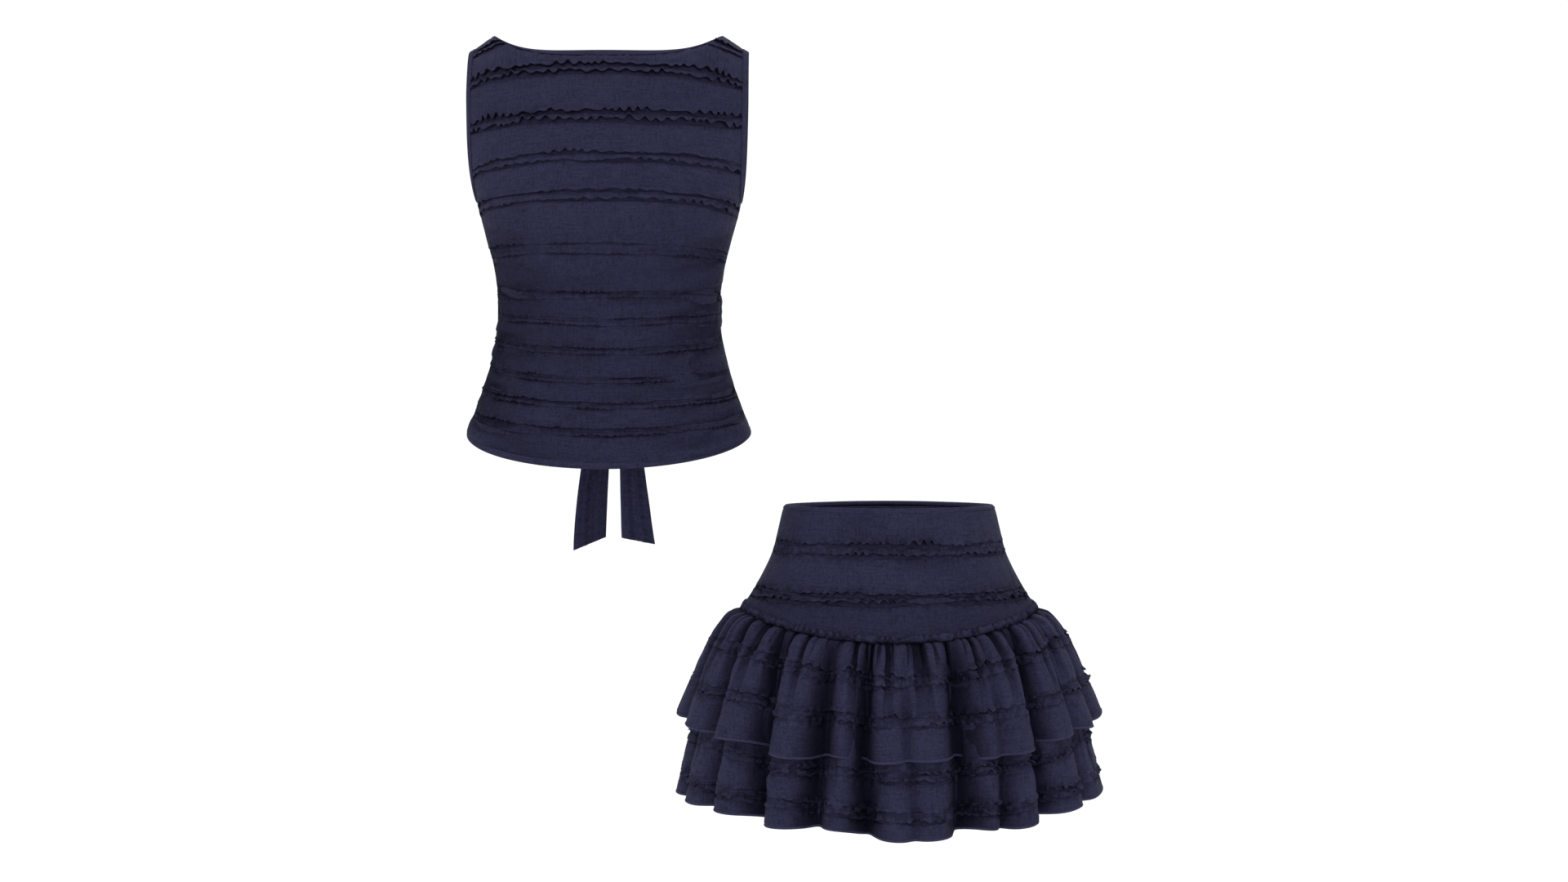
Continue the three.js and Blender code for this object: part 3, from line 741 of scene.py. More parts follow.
boundShape = [(7.6, 0.1), (7.0, 0.75), (4.0, 0.95), (1.2, 1.15), (-0.5, 0.9), (-1.2, -0.5), (-0.6, -1.9),
              (1.2, -2.3), (4.0, -2.2), (7.0, -2.0), (7.4, -1.4), (3.5, -0.9)]


def neckPath():
    ring = []
    for part in ("front", "back"):
        made = panels[part]
        reach = np.abs(made["dense"][-1, :, 0] - topX)
        keep = reach < topPlan["peak"][0] - 0.5
        ring.append((made["dense"][-1][keep], -made["up"][-1][keep], made["out"][-1][keep]))
    return [np.concatenate([a, b]) for a, b in zip(*ring)]


def armholePath(hand):
    runs = []
    for part in ("front", "back"):
        dense = panels[part]["dense"]
        first = (hand > 0) != (part == "front")
        line = dense[:, 0] if first else dense[:, -1]
        inward = (dense[:, 1] - dense[:, 0]) if first else (dense[:, -2] - dense[:, -1])
        up = np.gradient(line, axis=0)
        out = np.cross(inward, up) if first else np.cross(up, inward)
        keep = line[:, 2] > topPlan["underarmZ"]
        run = (line[keep], unit(inward[keep]), unit(out[keep]))
        runs.append(run if part == "front" else [r[::-1] for r in run])
    return [np.concatenate([a, b]) for a, b in zip(*runs)]


def lowerPath(front, back):                        # round the lower edge of two panels
    pair = [(m["base"][0], m["up"][0], m["out"][0]) for m in (front, back)]
    return [np.concatenate([a[:-1], b[:-1]]) for a, b in zip(*pair)]


def bandAlong(name, path, inward, normal, shape, stitch, step=3.0, smooth=8):
    path, inward, normal = evenPath(path, step, inward, normal)
    inward, normal = (unit(smoothPath(values, smooth)) for values in (inward, normal))
    return edgeBand(name, smoothPath(path, 3), inward, normal, shape, stitch)


edgeStitch = (6.0, 0.95)                           # distance in from the edge, and lift
neckEdge = bandAlong("neckEdge", *neckPath(), boundShape, edgeStitch)
finishPiece(neckEdge, "top", "gauzeTop", ("neck_facing",))
for hand, name in ((-1, "left"), (1, "right")):
    band = bandAlong("armholeEdge%s" % name.title(), *armholePath(hand), boundShape, edgeStitch)
    finishPiece(band, "top", "gauzeTop", ("armhole_facing_" + name,))
hemShape = [(6.4, 0.15), (5.6, 0.6), (3.0, 0.75), (0.4, 0.85), (-0.9, 0.5), (-1.5, -0.6), (-0.9, -1.7),
            (0.8, -2.2), (3.0, -2.2), (5.6, -2.0), (6.2, -1.5), (3.0, -0.9)]
topHem = bandAlong("topHemEdge", *lowerPath(panels["front"], panels["back"]), hemShape, (4.9, 0.75))
finishPiece(topHem, "top", "gauzeTop", ("top_hem",))
print("edges made")


# tapes and elastics, flat strips with worked ribs

def tape(name, path, across, out, width, thick, ribs=0.0):
    run = runLengths(path[:, None])[:, 0]
    n = max(int(run[-1] / 2.0), 4)
    at = np.linspace(0, run[-1], n)
    path, across, out = (np.stack([np.interp(at, run, a[:, k]) for k in range(3)], -1)
                         for a in (path, across, out))
    w = np.linspace(-1, 1, 9)
    ripple = ribs * np.sin(np.arange(n) * math.pi / 1.5)[:, None] * (1 - w ** 6)[None]
    grid = path[:, None] + across[:, None] * (w * width / 2)[None, :, None] + out[:, None] * ripple[..., None]
    return thinSheet(name, grid, thick, edgeShare=0.5)


for hand, name in ((-1, "left"), (1, "right")):
    z = np.linspace(132, 328, 60)
    x = topX + hand * (follow(topPlan["halfWidth"], z) - 4.6)
    path = np.stack([x, 0 * z, z], -1)
    across = np.tile([0.0, 1.0, 0.0], (60, 1))
    out = np.tile([float(hand), 0.0, 0.0], (60, 1))
    made = tape("sideElastic" + name.title(), path, across, out, 8, 1.2, 0.35)
    finishPiece(made["thing"], "top", "elastic", ("side_elastic_" + name,))
    low, high = boxOf("shoulder_tape_" + name)
    reach = np.linspace(0, 1, 14)[:, None]
    inner, outer = (low[0], high[2] - 0.6), (high[0], low[2] + 0.6)
    if hand < 0:
        inner, outer = (high[0], high[2] - 0.6), (low[0], low[2] + 0.6)
    path = np.array([inner[0], 0, inner[1]]) * (1 - reach) + np.array([outer[0], 0, outer[1]]) * reach
    made = tape("shoulderTape" + name.title(), path, np.tile([0.0, 1.0, 0.0], (14, 1)),
                np.tile([0.0, 0.0, 1.0], (14, 1)), 8, 1.0, 0.12)
    finishPiece(made["thing"], "top", "stayTape", ("shoulder_tape_" + name,))


# ties and bow

def strap(hand, name):
    s = np.linspace(0.992, 0.035, 130) if hand > 0 else np.linspace(-0.035, -0.992, 130)
    w = np.linspace(-1, 1, 27)[:, None]
    share = np.abs(s)[None]
    middle = mix(strapPlan["z"][1], strapPlan["z"][0], share)
    width = mix(strapPlan["width"][1] - 4, strapPlan["width"][0], easeIn(share, 0.02, 0.5))
    on = bodyPoint("back", s[None] + 0 * w, middle + w * width / 2)
    side, up = unit(np.gradient(on, axis=1)), unit(np.gradient(on, axis=0))
    out = unit(np.cross(side, up))
    drift = unevenCloth(301 + hand, 70, 1.1)(share * 130, w * 2.2)
    crease = np.cos(w * math.pi * strapPlan["creases"] + 0.9 * drift)
    deep = mix(2.0, 0.75, easeIn(share, 0.05, 0.45))
    flat = 1 - 0.85 * easeIn(share, 0.86, 0.99)
    lift = strapPlan["lift"] * flat + 9.5 * (1 - easeIn(share, 0.03, 0.22))
    lift = lift + deep * 0.5 * crease * flat
    lift += 0.35 * drift - 0.9 * np.abs(w) ** 4
    # painted shade in the hollows of the creases
    return thinSheet("tieStrap" + name.title(), on + out * lift[..., None], strapPlan["thick"],
                     np.clip(-0.3 * crease * deep * flat, 0, 0.4))


def bowKnot(plan):
    v = np.linspace(-1, 1, 34)
    turn = np.linspace(0, 2 * math.pi, 72, endpoint=False)
    round_ = np.sqrt(np.maximum(1 - np.abs(v) ** 3.4, 0.012))[:, None]
    crease = 0.075 * np.sin(6 * turn + 0.8 * np.sin(2.2 * v[:, None]))
    crease = crease + 0.03 * np.sin(13 * turn + 2 * v[:, None])
    pinch = 1 - 0.10 * np.cos(v * math.pi)[:, None] * 0.5
    size = round_ * (0.97 + crease * (1 - 0.4 * np.abs(v[:, None]))) * pinch
    x = plan["x"] + plan["halfWidth"] * np.sign(np.cos(turn)) * np.abs(np.cos(turn)) ** 0.85 * size
    y = plan["y"] + plan["halfDepth"] * np.sin(turn) * size
    z = plan["z"] + plan["halfHeight"] * v[:, None] + 0 * turn
    return ringMesh("bowKnot", np.stack([x, y, z], -1), around=False)


def bowLoop(hand, name, plan):
    place = np.linspace(0, 8, 96)
    x = follow([(0, 2), (1, 18), (2, 42), (3, 57), (4, 62), (5, 57), (6, 42), (7, 18), (8, 2)], place)
    y = follow([(0, -1.6), (1, -5.5), (2, -9), (3, -7.5), (4, 0), (5, 7.5), (6, 9), (7, 5.5), (8, 1.6)],
               place)
    w = np.linspace(-1, 1, 45)
    half = 17 * (0.33 + 0.67 * easeIn(x, -6, 36))
    tangent = unit(np.stack([np.gradient(x), np.gradient(y)], -1))
    gather = (1 - easeIn(x, 0, 52))[:, None]
    phase = unevenLine(401 + hand, 0.5)(w)[None]
    crease = (0.35 + 1.9 * gather) * np.cos(math.pi * (2.6 * w[None] + 0.35 * phase))
    crease = crease * (1 - 0.3 * w[None] ** 2)
    crease += 0.8 * unevenCloth(410 + hand, 14, 8)(x[:, None], w[None] * 17)
    local = np.stack([x[:, None] - crease * tangent[:, 1:], y[:, None] + crease * tangent[:, :1] * 0.8,
                      half[:, None] * w[None] + 0.9 * np.sin(x / 9)[:, None] * w[None]], -1)
    if hand < 0:
        local = local * np.array([-1, -1, 1])
    droop = hand * math.radians(plan["droop"])
    turned = np.stack([local[..., 0] * math.cos(droop) + local[..., 2] * math.sin(droop), local[..., 1],
                       local[..., 2] * math.cos(droop) - local[..., 0] * math.sin(droop)], -1)
    turned += np.array([knotPlan["x"] + hand * plan["reach"], plan["y"], knotPlan["z"]])
    # painted shade in the hollows of the creases
    return thinSheet("bowLoop" + name.title(), turned, 1.8, np.clip(-0.35 * crease, 0, 0.6))


def tieTail(hand, name, plan):
    v = np.linspace(0, 1, 150)[:, None]
    u = np.linspace(0, 1, 39)[None]
    inner, outer = plan["inner"], plan["outer"]
    topIn, topOut, topZ = plan["top"]
    lowX, lowZ = mix(inner[0], outer[0], u), mix(inner[1], outer[1], u)
    z = mix(lowZ, topZ, v)
    x = mix(lowX, mix(topIn, topOut, u), v ** mix(1, plan["spread"], u))
    y = follow(tailPath, z)
    drift = unevenLine(501 + hand, 60)(z)
    folds = 0.9 * np.cos(2 * math.pi * (2.0 * u + 0.10 * drift))
    folds = folds + 0.5 * np.cos(2 * math.pi * (5 * u + 0.2 * drift))
    sway = 1.3 * unevenLine(510 + hand, 70)(z) * easeIn(topZ - z, 5, 60)
    y = y + folds * mix(0.9, 1.3, easeIn(topZ - z, 0, 90)) + sway
    x = x + 0.8 * unevenLine(520 + hand, 38)(z) * easeIn(topZ - z, 5, 60)
    grid = np.stack([x, y, z + 0 * u], -1)
    # painted shade in the hollows of the lengthwise folds
    fold = np.clip(-0.25 * folds, 0, 0.5) + 0 * z
    return thinSheet("tieTail" + name.title(), grid, 2.2, fold)


knotPlan = {"x": -328, "y": 93, "z": 222, "halfWidth": 9.5, "halfDepth": 8.5, "halfHeight": 13.5}
loopPlan = {"reach": 8, "y": 96, "droop": 25}
tailPath = [(-60, 113), (44, 110.5), (86, 106.5), (150, 99), (206, 96)]
tailPlans = {
    "left": {"top": (-329, -340, 206), "inner": (-338, -42.5), "outer": (-377.5, -59), "spread": 1.5},
    "right": {"top": (-327, -316, 206), "inner": (-319.5, -43.5), "outer": (-279, -51.4), "spread": 1.0},
}

for hand, name in ((-1, "left"), (1, "right")):
    made = strap(hand, name)
    finishPiece(made["thing"], "top", "gauzeTie", ("tie_strap_" + name,))
    made = bowLoop(hand, name, loopPlan)
    finishPiece(made["thing"], "bow_loop_" + name, "gauzeTie", ("bow_loop_" + name,))
    made = tieTail(hand, name, tailPlans[name])
    finishPiece(made["thing"], "tie_tail_" + name, "gauzeTie", ("tie_tail_" + name,))
knot = finishPiece(bowKnot(knotPlan), "top", "gauzeTie", ("bow_knot",))
print("ties made")


# the skirt

skirtPlan = {
    "seam": (-118, 31, 20),
    "halfWidth": [(-150, 188), (-125, 175), (-97, 156.8), (-59, 137.3), (-30, 129.3), (-8, 124.2),
                  (-3, 122.4), (0, 119.6)],
    "depth": {"front": [(-150, 127), (-100, 116), (-50, 104), (0, 94)],
              "back": [(-150, 133), (-100, 124), (-50, 108), (0, 90)]},
    "columns": 229,
}
skirtTucks = [
    dict(z=(-41.6, -38.9, -38.9), gap=12.4, lift=3.6, frill=6.0, fade=0.8, spacing=11, power=2.0,
         pleat=1.5, shape=fullTuck),
    dict(z=(-96.4, -91.2, -91.2), gap=9.8, lift=3.0, frill=4.4, fade=1.1, spacing=12, power=2.0,
         pleat=1.3, shape=fullTuck),
]
halfTurns = {"front": (-90.2, 90.2), "back": (89.8, 270.2)}


def seamHeight(c):
    side, front, back = skirtPlan["seam"]
    return side - np.where(c > 0, front, back) * c * c


def yokePoint(angle, z):
    angle, z = np.broadcast_arrays(angle, z)
    c = np.cos(angle)
    depth = np.where(c > 0, follow(skirtPlan["depth"]["front"], z), follow(skirtPlan["depth"]["back"], z))
    return np.stack([follow(skirtPlan["halfWidth"], z) * np.sin(angle), -depth * c, z], -1)


def yokePuff(u, v, width):
    return 0.7 + 0.5 * unevenCloth(88, 40, 20)(u, v)


def plainCloth(u, v, width):
    return 0 * u, 0 * u


def yokeShade(u, v, width):                        # darker in patches and down toward the seam
    patches = np.clip(unevenCloth(89, 55, 22)(u, v), -0.5, 1)
    return 0 * u, 0.10 + 0.20 * (1 - easeIn(v, 20, 75)) + 0.14 * patches


def waistHeight(c):                                # the waist dips in front and rises a little behind
    return np.where(c > 0, -2.8, 1.2) * c * c


yokes = {}
for part, seed in (("front", 601), ("back", 701)):
    start, stop = halfTurns[part]
    angle = np.radians(np.linspace(start, stop, skirtPlan["columns"]))
    levels = np.linspace(1, 0, 200)[:, None]
    c = np.cos(angle)[None]
    dense = yokePoint(angle[None], mix(waistHeight(c), seamHeight(c), levels))
    s = np.linspace(-1, 1, skirtPlan["columns"])
    plan = {"step": 4.2, "border": 6, "thick": 1.4, "seed": seed, "wobble": 0.9, "knots": 1.3,
            "puff": yokePuff, "coarse": 4, "folds": yokeShade, "seam": 0.08, "seamFade": 40, "groove": 0.5,
            "press": unpressed}
    made = tuckedCloth("yoke" + part.title(), dense, heightLines(dense, s, skirtTucks, seed), plan)
    yokes[part] = made
    finishPiece(made["thing"], "skirt", "gauzeSkirt", ("yoke_" + part,))
print("yoke made")

# folds round each tier: angle from the front centre, depth at the hem, half width in degrees
tierPlans = {
    "upperTier": {
        "top": (172, 128, 134), "hem": (246.5, 175, 182), "growth": 0.62,
        "heading": 8.5, "gather": 1.0, "seed": 811,
        "topZ": lambda c: seamHeight(c) - 2.0,
        "hemZ": lambda c: -239 - np.where(c > 0, 39, 27) * np.abs(c) ** 1.3,
        "folds": [(-79, 15, 3.0), (-60, 22, 3.2), (-40.5, 36, 4.4), (-22, 40, 5.4), (-9.0, 34, 4.0),
                  (3, 8, 1.8), (20, 44, 6.2), (31.5, 11, 2.4), (45, 30, 3.8), (60, 9, 2.8),
                  (75, 16, 3.0), (100, 17, 3.2), (115, 22, 3.4), (133, 18, 3.2), (150, 24, 3.4),
                  (164, 16, 3.0), (180, 25, 3.6), (197, 16, 3.0), (214, 23, 3.4), (229, 18, 3.0),
                  (246, 22, 3.4), (262, 17, 3.2)],
        "tucks": [(0.32, 2.6), (0.395, 2.6), (0.655, 2.3), (0.725, 2.3)],
    },
    "lowerTier": {
        "top": (205, 146, 153), "hem": (247.5, 176, 183), "growth": 0.62,
        "heading": 0, "gather": 0.4, "seed": 911,
        "topZ": lambda c: -205 - np.where(c > 0, 28, 20) * np.abs(c) ** 1.4,
        "hemZ": lambda c: -328 - np.where(c > 0, 30, 20) * np.abs(c) ** 1.5,
        "folds": [(-78, 15, 3.0), (-60, 20, 3.2), (-42, 34, 4.4), (-24, 38, 5.0), (-8.5, 38, 5.2),
                  (5, 7, 2.2), (20, 44, 6.4), (33, 22, 3.2), (46, 26, 3.6), (66, 14, 3.0),
                  (99, 18, 3.2), (117, 24, 3.4), (134, 19, 3.2), (152, 24, 3.4), (166, 17, 3.0),
                  (181, 25, 3.6), (199, 18, 3.0), (215, 23, 3.4), (232, 19, 3.2), (248, 22, 3.4),
                  (264, 17, 3.2)],
        "tucks": [(0.45, 2.2), (0.51, 2.2), (0.77, 2.2), (0.84, 2.2)],
    },
}


def foldShape(folds, angle, t=1.0):                # depth of the folds round a tier, narrower near its top
    spots = np.array(sorted((a % 360, d, w) for a, d, w in folds))
    turn = np.degrees(angle) % 360
    depth = np.zeros(np.broadcast(turn, t).shape)
    pinch, shade = depth.copy(), depth.copy()
    narrow = mix(0.45, 1.0, np.clip(t, 0, 1) ** 0.7)
    for a, d, w in spots:
        away = ((turn - a + 180) % 360 - 180) / narrow
        part = np.exp(-np.abs(away / w) ** 1.7)
        depth += d * part
        pinch += away * part * (1 - part) * 0.6 * min(d / 25, 1)
        # painted shade down each valley, strongest for the deep folds
        shade += min(d / 32, 1) ** 1.6 * np.exp(-np.abs(away / (1.12 * w)) ** 4)
    ring = np.concatenate([[spots[-1, 0] - 360], spots[:, 0], [spots[0, 0] + 360]])
    i = np.searchsorted(ring, turn, side="right").clip(1, len(ring) - 1)
    q = (turn - ring[i - 1]) / (ring[i] - ring[i - 1])
    return depth, 1 - np.sin(np.pi * q) ** 0.7, np.radians(pinch), shade


def tierLevel(plan, angle, z):                     # share of the way down a tier at a height
    c = np.cos(angle)
    return (plan["topZ"](c) - z) / (plan["topZ"](c) - plan["hemZ"](c))


def tierSize(plan, angle, t):                      # half width, half depth and fold of a tier
    c = np.cos(angle)
    grown = np.clip(t, 0, 1) ** plan["growth"]
    width = mix(plan["top"][0], plan["hem"][0], grown)
    topDepth, hemDepth = (np.where(c > 0, plan[level][1], plan[level][2]) for level in ("top", "hem"))
    depth = mix(topDepth, hemDepth, grown)
    folds, roundness = foldShape(plan["folds"], angle, t)[:2]
    grow = np.clip(t, 0, 1) ** 0.5
    sway = 1 + 0.2 * unevenCloth(plan["seed"] + 60, 14, 0.5)(np.degrees(angle), t)
    return width, depth, -(folds * grow * sway + 6.0 * roundness * np.clip(t, 0, 1) ** 0.8)


def tierPoint(plan, angle, t, under=None, gap=3.4):
    angle, t = np.broadcast_arrays(angle, t)
    c = np.cos(angle)
    z = mix(plan["topZ"](c), plan["hemZ"](c), t)
    width, depth, fold = tierSize(plan, angle, t)
    if under is not None:                          # stays inside the tier above, down to that tier's hem
        level = tierLevel(under, angle, z)
        overWidth, overDepth, overFold = tierSize(under, angle, level)
        room = np.minimum(overWidth - width, overDepth - depth) + overFold - gap
        room += 40 * np.clip(level - 0.97, 0, 2)
        fold = np.minimum(fold, room)
    mouth = angle - foldShape(plan["folds"], angle, t)[2] * np.clip(t, 0, 1) ** 0.5
    return np.stack([(width + fold) * np.sin(mouth), -(depth + fold) * np.cos(mouth), z], -1)


def evenAngles(plan, part, columns):               # angles at even steps along the hem's folds
    start, stop = np.radians(halfTurns[part])
    fine = np.linspace(start, stop, 4000)
    hem = tierPoint(plan, fine, np.full(4000, 0.9))
    run = runLengths(hem[:, None])[:, 0]
    return np.interp(np.linspace(0, run[-1], columns), run, fine)


def tierBase(plan, part, columns, under=None):
    angle = evenAngles(plan, part, columns)
    t = np.linspace(1, 0, 160)[:, None]
    dense = tierPoint(plan, angle[None], t, under)
    hemRun = runLengths(dense[:1].swapaxes(0, 1))[:, 0]
    out = np.stack([np.sin(angle), -np.cos(angle), 0 * angle], -1)
    arc = angle * plan["top"][0]
    short = gaps(plan["seed"] + 30, 14, 0.32)(arc)[None]
    long = gaps(plan["seed"] + 33, 27, 0.3)(arc)[None]
    reach = 0.2 + 0.12 * unevenLine(plan["seed"] + 35, 30)(arc)[None]
    deep = 6.5 * short * np.clip(1 - t / reach, 0, 1) ** 0.6 + 9.0 * long * np.clip(1 - t / 0.7, 0, 1)
    swell = 5.5 * np.clip(t / 0.03, 0, 1) ** 0.6 * np.clip(1 - t / 0.6, 0, 1)
    dense = dense + out[None] * ((swell - deep * np.clip(0.35 + t / 0.04, 0, 1)) * plan["gather"])[..., None]
    dense[:, :, 2] += (4.5 * unevenLine(plan["seed"] + 31, 62)(hemRun))[None] * t ** 2
    creases = deep[::-1] * plan["gather"]          # depth of the gathers, rows from the top down
    if plan["heading"]:                            # frilled edge that stands above the gathering seam
        rise = np.linspace(0, 1, 12)[1:, None]
        on = yokePoint(angle[None], seamHeight(np.cos(angle))[None] - 2.0 + plan["heading"] * rise)
        frill = 1 - notches(plan["seed"] + 40, 8.5, 0.8)(arc)[None]
        flare = 1.8 + 2.6 * np.sin(np.pi * rise ** 0.8) + 4.0 * (frill - 0.5) * rise ** 0.6
        flare *= mix(0.35, 1.0, easeIn(np.abs(np.cos(angle)), 0.02, 0.4))[None]
        on = on + out[None] * flare[..., None]
        on[..., 2] += 5.0 * (frill - 0.7) * rise
        dense = np.concatenate([dense, on])
    return angle, dense, creases


tierColumns = 481


def tierPuff(u, v, width):
    return 0.5 + 0.4 * unevenCloth(99, 30, 18)(u, v)


def makeTier(name, part, plan, under, node):
    angle, dense, creases = tierBase(plan, part, tierColumns, under)
    top = runLengths(dense)[-1] - plan["heading"] * 1.1
    arc = angle * plan["top"][0]

    def foldShade(u, v, width):
        t = np.clip(1 - v / top, 0, 1)
        valley = foldShape(plan["folds"], angle[None], t)[3]
        row = np.clip((t * (len(creases) - 1)).round().astype(int), 0, len(creases) - 1)
        crease = creases[row, np.arange(tierColumns)[None]]
        # painted shade down the valleys and in the gaps between the gathers
        shade = 0.88 * valley * t ** 0.2 + 0.14 * crease * easeIn(t, 0, 0.02)
        swell = 0 * v
        if plan["heading"]:
            knots = unevenCloth(plan["seed"] + 70, 6, 4)(arc + 0 * v, v)
            near = 1 - easeIn(np.abs(v - top - 1), 3, 10)
            swell = 1.7 * knots * near
            # painted shade in the groove under the heading, at its notches and between its knots, and a
            # painted highlight on its lobes (the -0.12)
            groove = (0.75 - 0.7 * knots) * (1 - easeIn(np.abs(v - top + 1), 1.5, 6))
            lobe = notches(plan["seed"] + 40, 8.5, 0.8)(arc)
            frill = (0.8 * lobe - 0.12) * easeIn(v, top, top + 3)
            shade += groove + frill + 0.5 * near * np.clip(-knots, 0, 1)
        return swell, np.clip(shade, -0.1, 0.97)

    lines = []
    for k, (t, lift) in enumerate(plan["tucks"]):
        wave = 3.0 * unevenLine(plan["seed"] + 50 + k // 2, 60)(np.degrees(angle) * 3.5)
        seed = plan["seed"] + 5 * k + (0 if part == "front" else 100)
        lines.append({"along": (1 - t) * top + wave, "lift": lift, "frill": 4.6, "fade": 1.5, "spacing": 10,
                      "pleat": 1.4, "shape": fullTuck, "seed": seed})
    details = {"step": 4.0, "border": 5, "thick": 1.2, "seed": plan["seed"] + 3, "wobble": 1.1, "knots": 1.3,
               "puff": tierPuff, "folds": foldShade, "coarse": 2, "seam": 0.3, "seamFade": 8, "groove": 0.4,
               "press": unpressed}
    made = tuckedCloth(name + part.title(), dense, lines, details)
    finishPiece(made["thing"], "skirt", "gauzeSkirt", (node,))
    return made


rollShape = [(2.2, -0.6), (1.8, 0.35), (0.6, 0.75), (-0.6, 0.5), (-1.1, -0.5), (-0.6, -1.4), (0.6, -1.8),
             (1.8, -1.5)]
tiers = {}
for name, node in (("upperTier", "upper_tier"), ("lowerTier", "lower_tier")):
    under = tierPlans["upperTier"] if name == "lowerTier" else None
    for part in ("front", "back"):
        tiers[name, part] = makeTier(name, part, tierPlans[name], under, "%s_%s" % (node, part))
    path, inward, normal = lowerPath(tiers[name, "front"], tiers[name, "back"])
    hem = bandAlong(name + "Hem", path, inward, normal, rollShape, None, 2.2, 2)
    finishPiece(hem, "skirt", "gauzeHemHighlight", (node + "_hem",))
print("tiers made")

# the plain layer inside, which carries the lower tier
underPlan = {"top": (166, 122, 128), "hem": (203, 144, 151), "growth": 1.0, "heading": 0, "seed": 991,
             "topZ": lambda c: seamHeight(c) - 3.0,
             "hemZ": lambda c: tierPlans["lowerTier"]["topZ"](c) + 2.0, "folds": [(0, 0, 3), (180, 0, 3)]}
for part in ("front", "back"):
    start, stop = halfTurns[part]
    angle = np.radians(np.linspace(start, stop, 161))
    dense = tierPoint(underPlan, angle[None], np.linspace(1, 0, 60)[:, None], tierPlans["upperTier"], 4.5)
    details = {"step": 4.0, "border": 4, "thick": 1.0, "seed": 995, "wobble": 0.5, "knots": 0.0,
               "puff": lambda u, v, width: 0, "folds": plainCloth, "coarse": 2, "seam": 0.4, "seamFade": 8,
               "groove": 0.3, "press": unpressed}
    made = tuckedCloth("underskirt" + part.title(), dense, [], details)
    finishPiece(made["thing"], "skirt", "lining", ("underskirt_" + part,))


# casing, elastic and tape inside the yoke, and the turned waist edge

def yokeRing(low, high, inset, thick, ripple, seed):
    angle = np.linspace(0, 2 * math.pi, 420, endpoint=False)
    seam = seamHeight(np.cos(angle))
    bottom, top = low(seam) + 0 * seam, high(seam) + 0 * seam
    levels = np.concatenate([np.linspace(0, 1, 9), np.linspace(1, 0, 9)])
    side = np.concatenate([np.zeros(9), np.ones(9)])
    z = mix(bottom[:, None], top[:, None], levels[None])
    on = yokePoint(angle[:, None], z)
    out = np.stack([np.sin(angle), -np.cos(angle), 0 * angle], -1)[:, None]
    wave = ripple * unevenLine(seed, 5)(angle * 110)[:, None] * np.sin(np.pi * levels)[None]
    edge = 0.5 * thick * (1 - 0.5 * np.abs(2 * levels - 1) ** 6)
    depth = inset + thick / 2 - wave + np.where(side > 0, edge, -edge)[None]
    return on - out * depth[..., None]


waistRings = {
    "waistElastic": {"rings": yokeRing(lambda seam: -34, lambda seam: -6, 3.1, 1.2, 0.15, 21),
                     "slot": "elastic", "finish": "elastic", "node": "waist_elastic"},
    "waistFacing": {"rings": yokeRing(lambda seam: -38, lambda seam: -4, 4.9, 1.1, 0.5, 22),
                    "slot": "gauze_skirt", "finish": "gauzeSkirt", "node": "waist_facing"},
    "gatherTape": {"rings": yokeRing(lambda seam: seam + 2, lambda seam: seam + 11, 3.1, 1.1, 0.2, 23),
                   "slot": "stay_tape", "finish": "stayTape", "node": "gather_tape"},
}
for name, plan in waistRings.items():
    thing = finishPiece(ringMesh(name, plan["rings"]), "skirt", plan["finish"], (plan["node"],))
pair = [(m["base"][-1], -m["up"][-1], m["out"][-1]) for m in (yokes["front"], yokes["back"])]
waistPath = [np.concatenate([a[:-1], b[:-1]]) for a, b in zip(*pair)]
waistShape = [(5.2, 0.1), (4.4, 0.55), (2.4, 0.75), (0.6, 0.8), (-0.7, 0.2), (-1.3, -1.4), (-1.2, -3.4),
              (-0.6, -5.0), (0.8, -5.9), (2.6, -5.9), (2.8, -5.2), (1.2, -4.4), (0.6, -2.6), (1.0, -0.6)]
waistEdge = bandAlong("waistEdge", *waistPath, waistShape, (3.9, 0.75))
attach(waistEdge, "skirt")
waistEdge.data.materials.append(finishes["gauzeSkirt"])
print("waist made")


# blank woven labels, folded and sewn along the top

def label(name, node, body, turned):
    low, high = boxOf(node)
    middle = (low + high) / 2
    wide = (high - low)[1 if turned else 0] / 2
    u, v = np.linspace(-1, 1, 25)[None], np.linspace(0, 1, 21)[:, None]
    z = mix(low[2], high[2], v) + 0 * u
    curl = 0.9 * u ** 2 * (1 - v) - 0.8 * (1 - v) ** 2 + 0.12 * np.cos(9 * u) * (1 - v)
    across = wide * u + 0 * v
    if turned:
        grid = np.stack([middle[0] + curl, middle[1] + across, z], -1)
    else:
        grid = np.stack([middle[0] + across, middle[1] - curl, z], -1)
    made = thinSheet(name, grid, 0.7, edgeShare=0.6)
    finishPiece(made["thing"], body, "label", (node,))


label("neckLabel", "neck_label", "top", False)
label("careLabel", "care_label", "top", True)
label("skirtLabel", "skirt_label", "skirt", False)
print("labels made")


# camera, floor and light

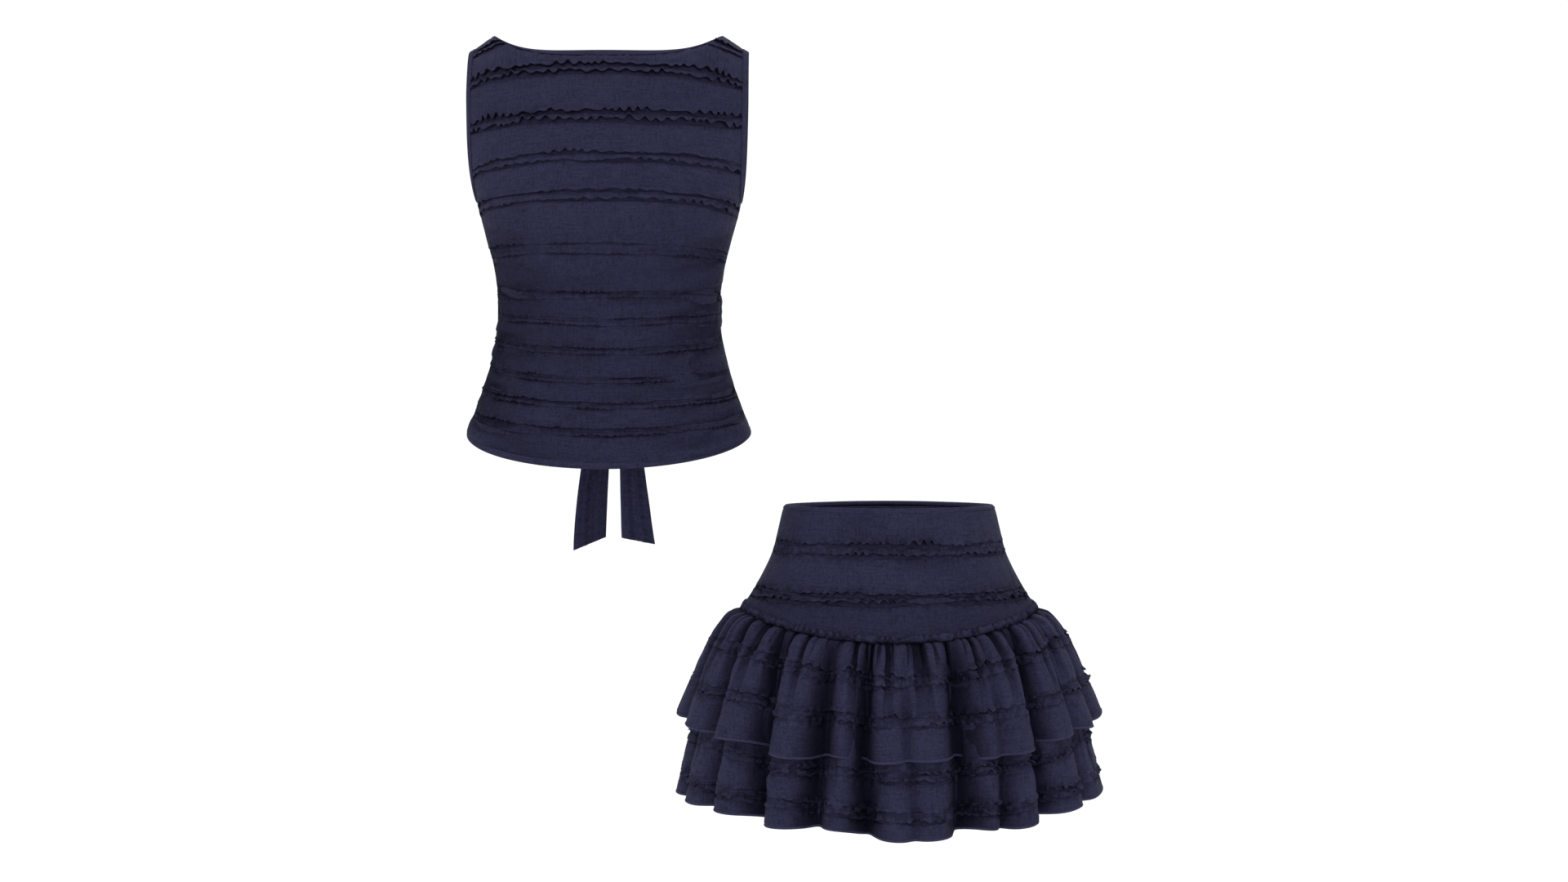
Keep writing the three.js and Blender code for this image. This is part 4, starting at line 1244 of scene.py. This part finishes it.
studioPlan = {"distance": 2600, "height": 74, "across": -122, "frameWidth": 1824, "floor": -1000,
              "world": 1.1,
              "lamps": {"key": ((-1.7, -2.6, 2.6), 1.6, 34), "fill": ((2.4, -2.4, 1.0), 2.2, 12),
                        "rear": ((0.4, 3.0, 2.2), 2.4, 20)}}


def studio(plan):
    camera = bpy.data.objects.new("camera", bpy.data.cameras.new("camera"))
    camera.location = (plan["across"] * mm, -plan["distance"] * mm, plan["height"] * mm)
    camera.rotation_euler = (math.pi / 2, 0, 0)
    camera.data.sensor_width = 36
    camera.data.lens = 36 * plan["distance"] / plan["frameWidth"]
    camera.data.clip_end = 60
    bpy.context.scene.collection.objects.link(camera)
    bpy.context.scene.camera = camera
    bpy.ops.object.select_all(action="DESELECT")
    bpy.ops.mesh.primitive_plane_add(size=40, location=(0, 0, plan["floor"] * mm))
    floor = bpy.context.object
    floor.name = "floor"
    paint = bpy.data.materials.new("floorPaint")
    paint.use_nodes = True
    paint.node_tree.nodes["Principled BSDF"].inputs["Base Color"].default_value = (0.96, 0.96, 0.96, 1)
    paint.node_tree.nodes["Principled BSDF"].inputs["Roughness"].default_value = 0.9
    floor.data.materials.append(paint)
    floor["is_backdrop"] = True
    world = bpy.data.worlds.new("studio")
    world.use_nodes = True
    world.node_tree.nodes["Background"].inputs[0].default_value = (1, 1, 1, 1)
    world.node_tree.nodes["Background"].inputs[1].default_value = plan["world"]
    bpy.context.scene.world = world
    for name, (where, size, power) in plan["lamps"].items():
        lamp = bpy.data.lights.new(name, "AREA")
        lamp.energy, lamp.size = power, size
        light = bpy.data.objects.new(name, lamp)
        light.location = where
        aim = np.array((-0.12, 0, 0.05)) - np.array(where)
        tilt = math.atan2(math.hypot(aim[0], aim[1]), -aim[2])
        light.rotation_euler = (tilt, 0, math.atan2(aim[0], -aim[1]) + math.pi)
        bpy.context.scene.collection.objects.link(light)
    bpy.context.scene.view_settings.view_transform = "Standard"


studio(studioPlan)
low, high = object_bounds()
print("studio set")
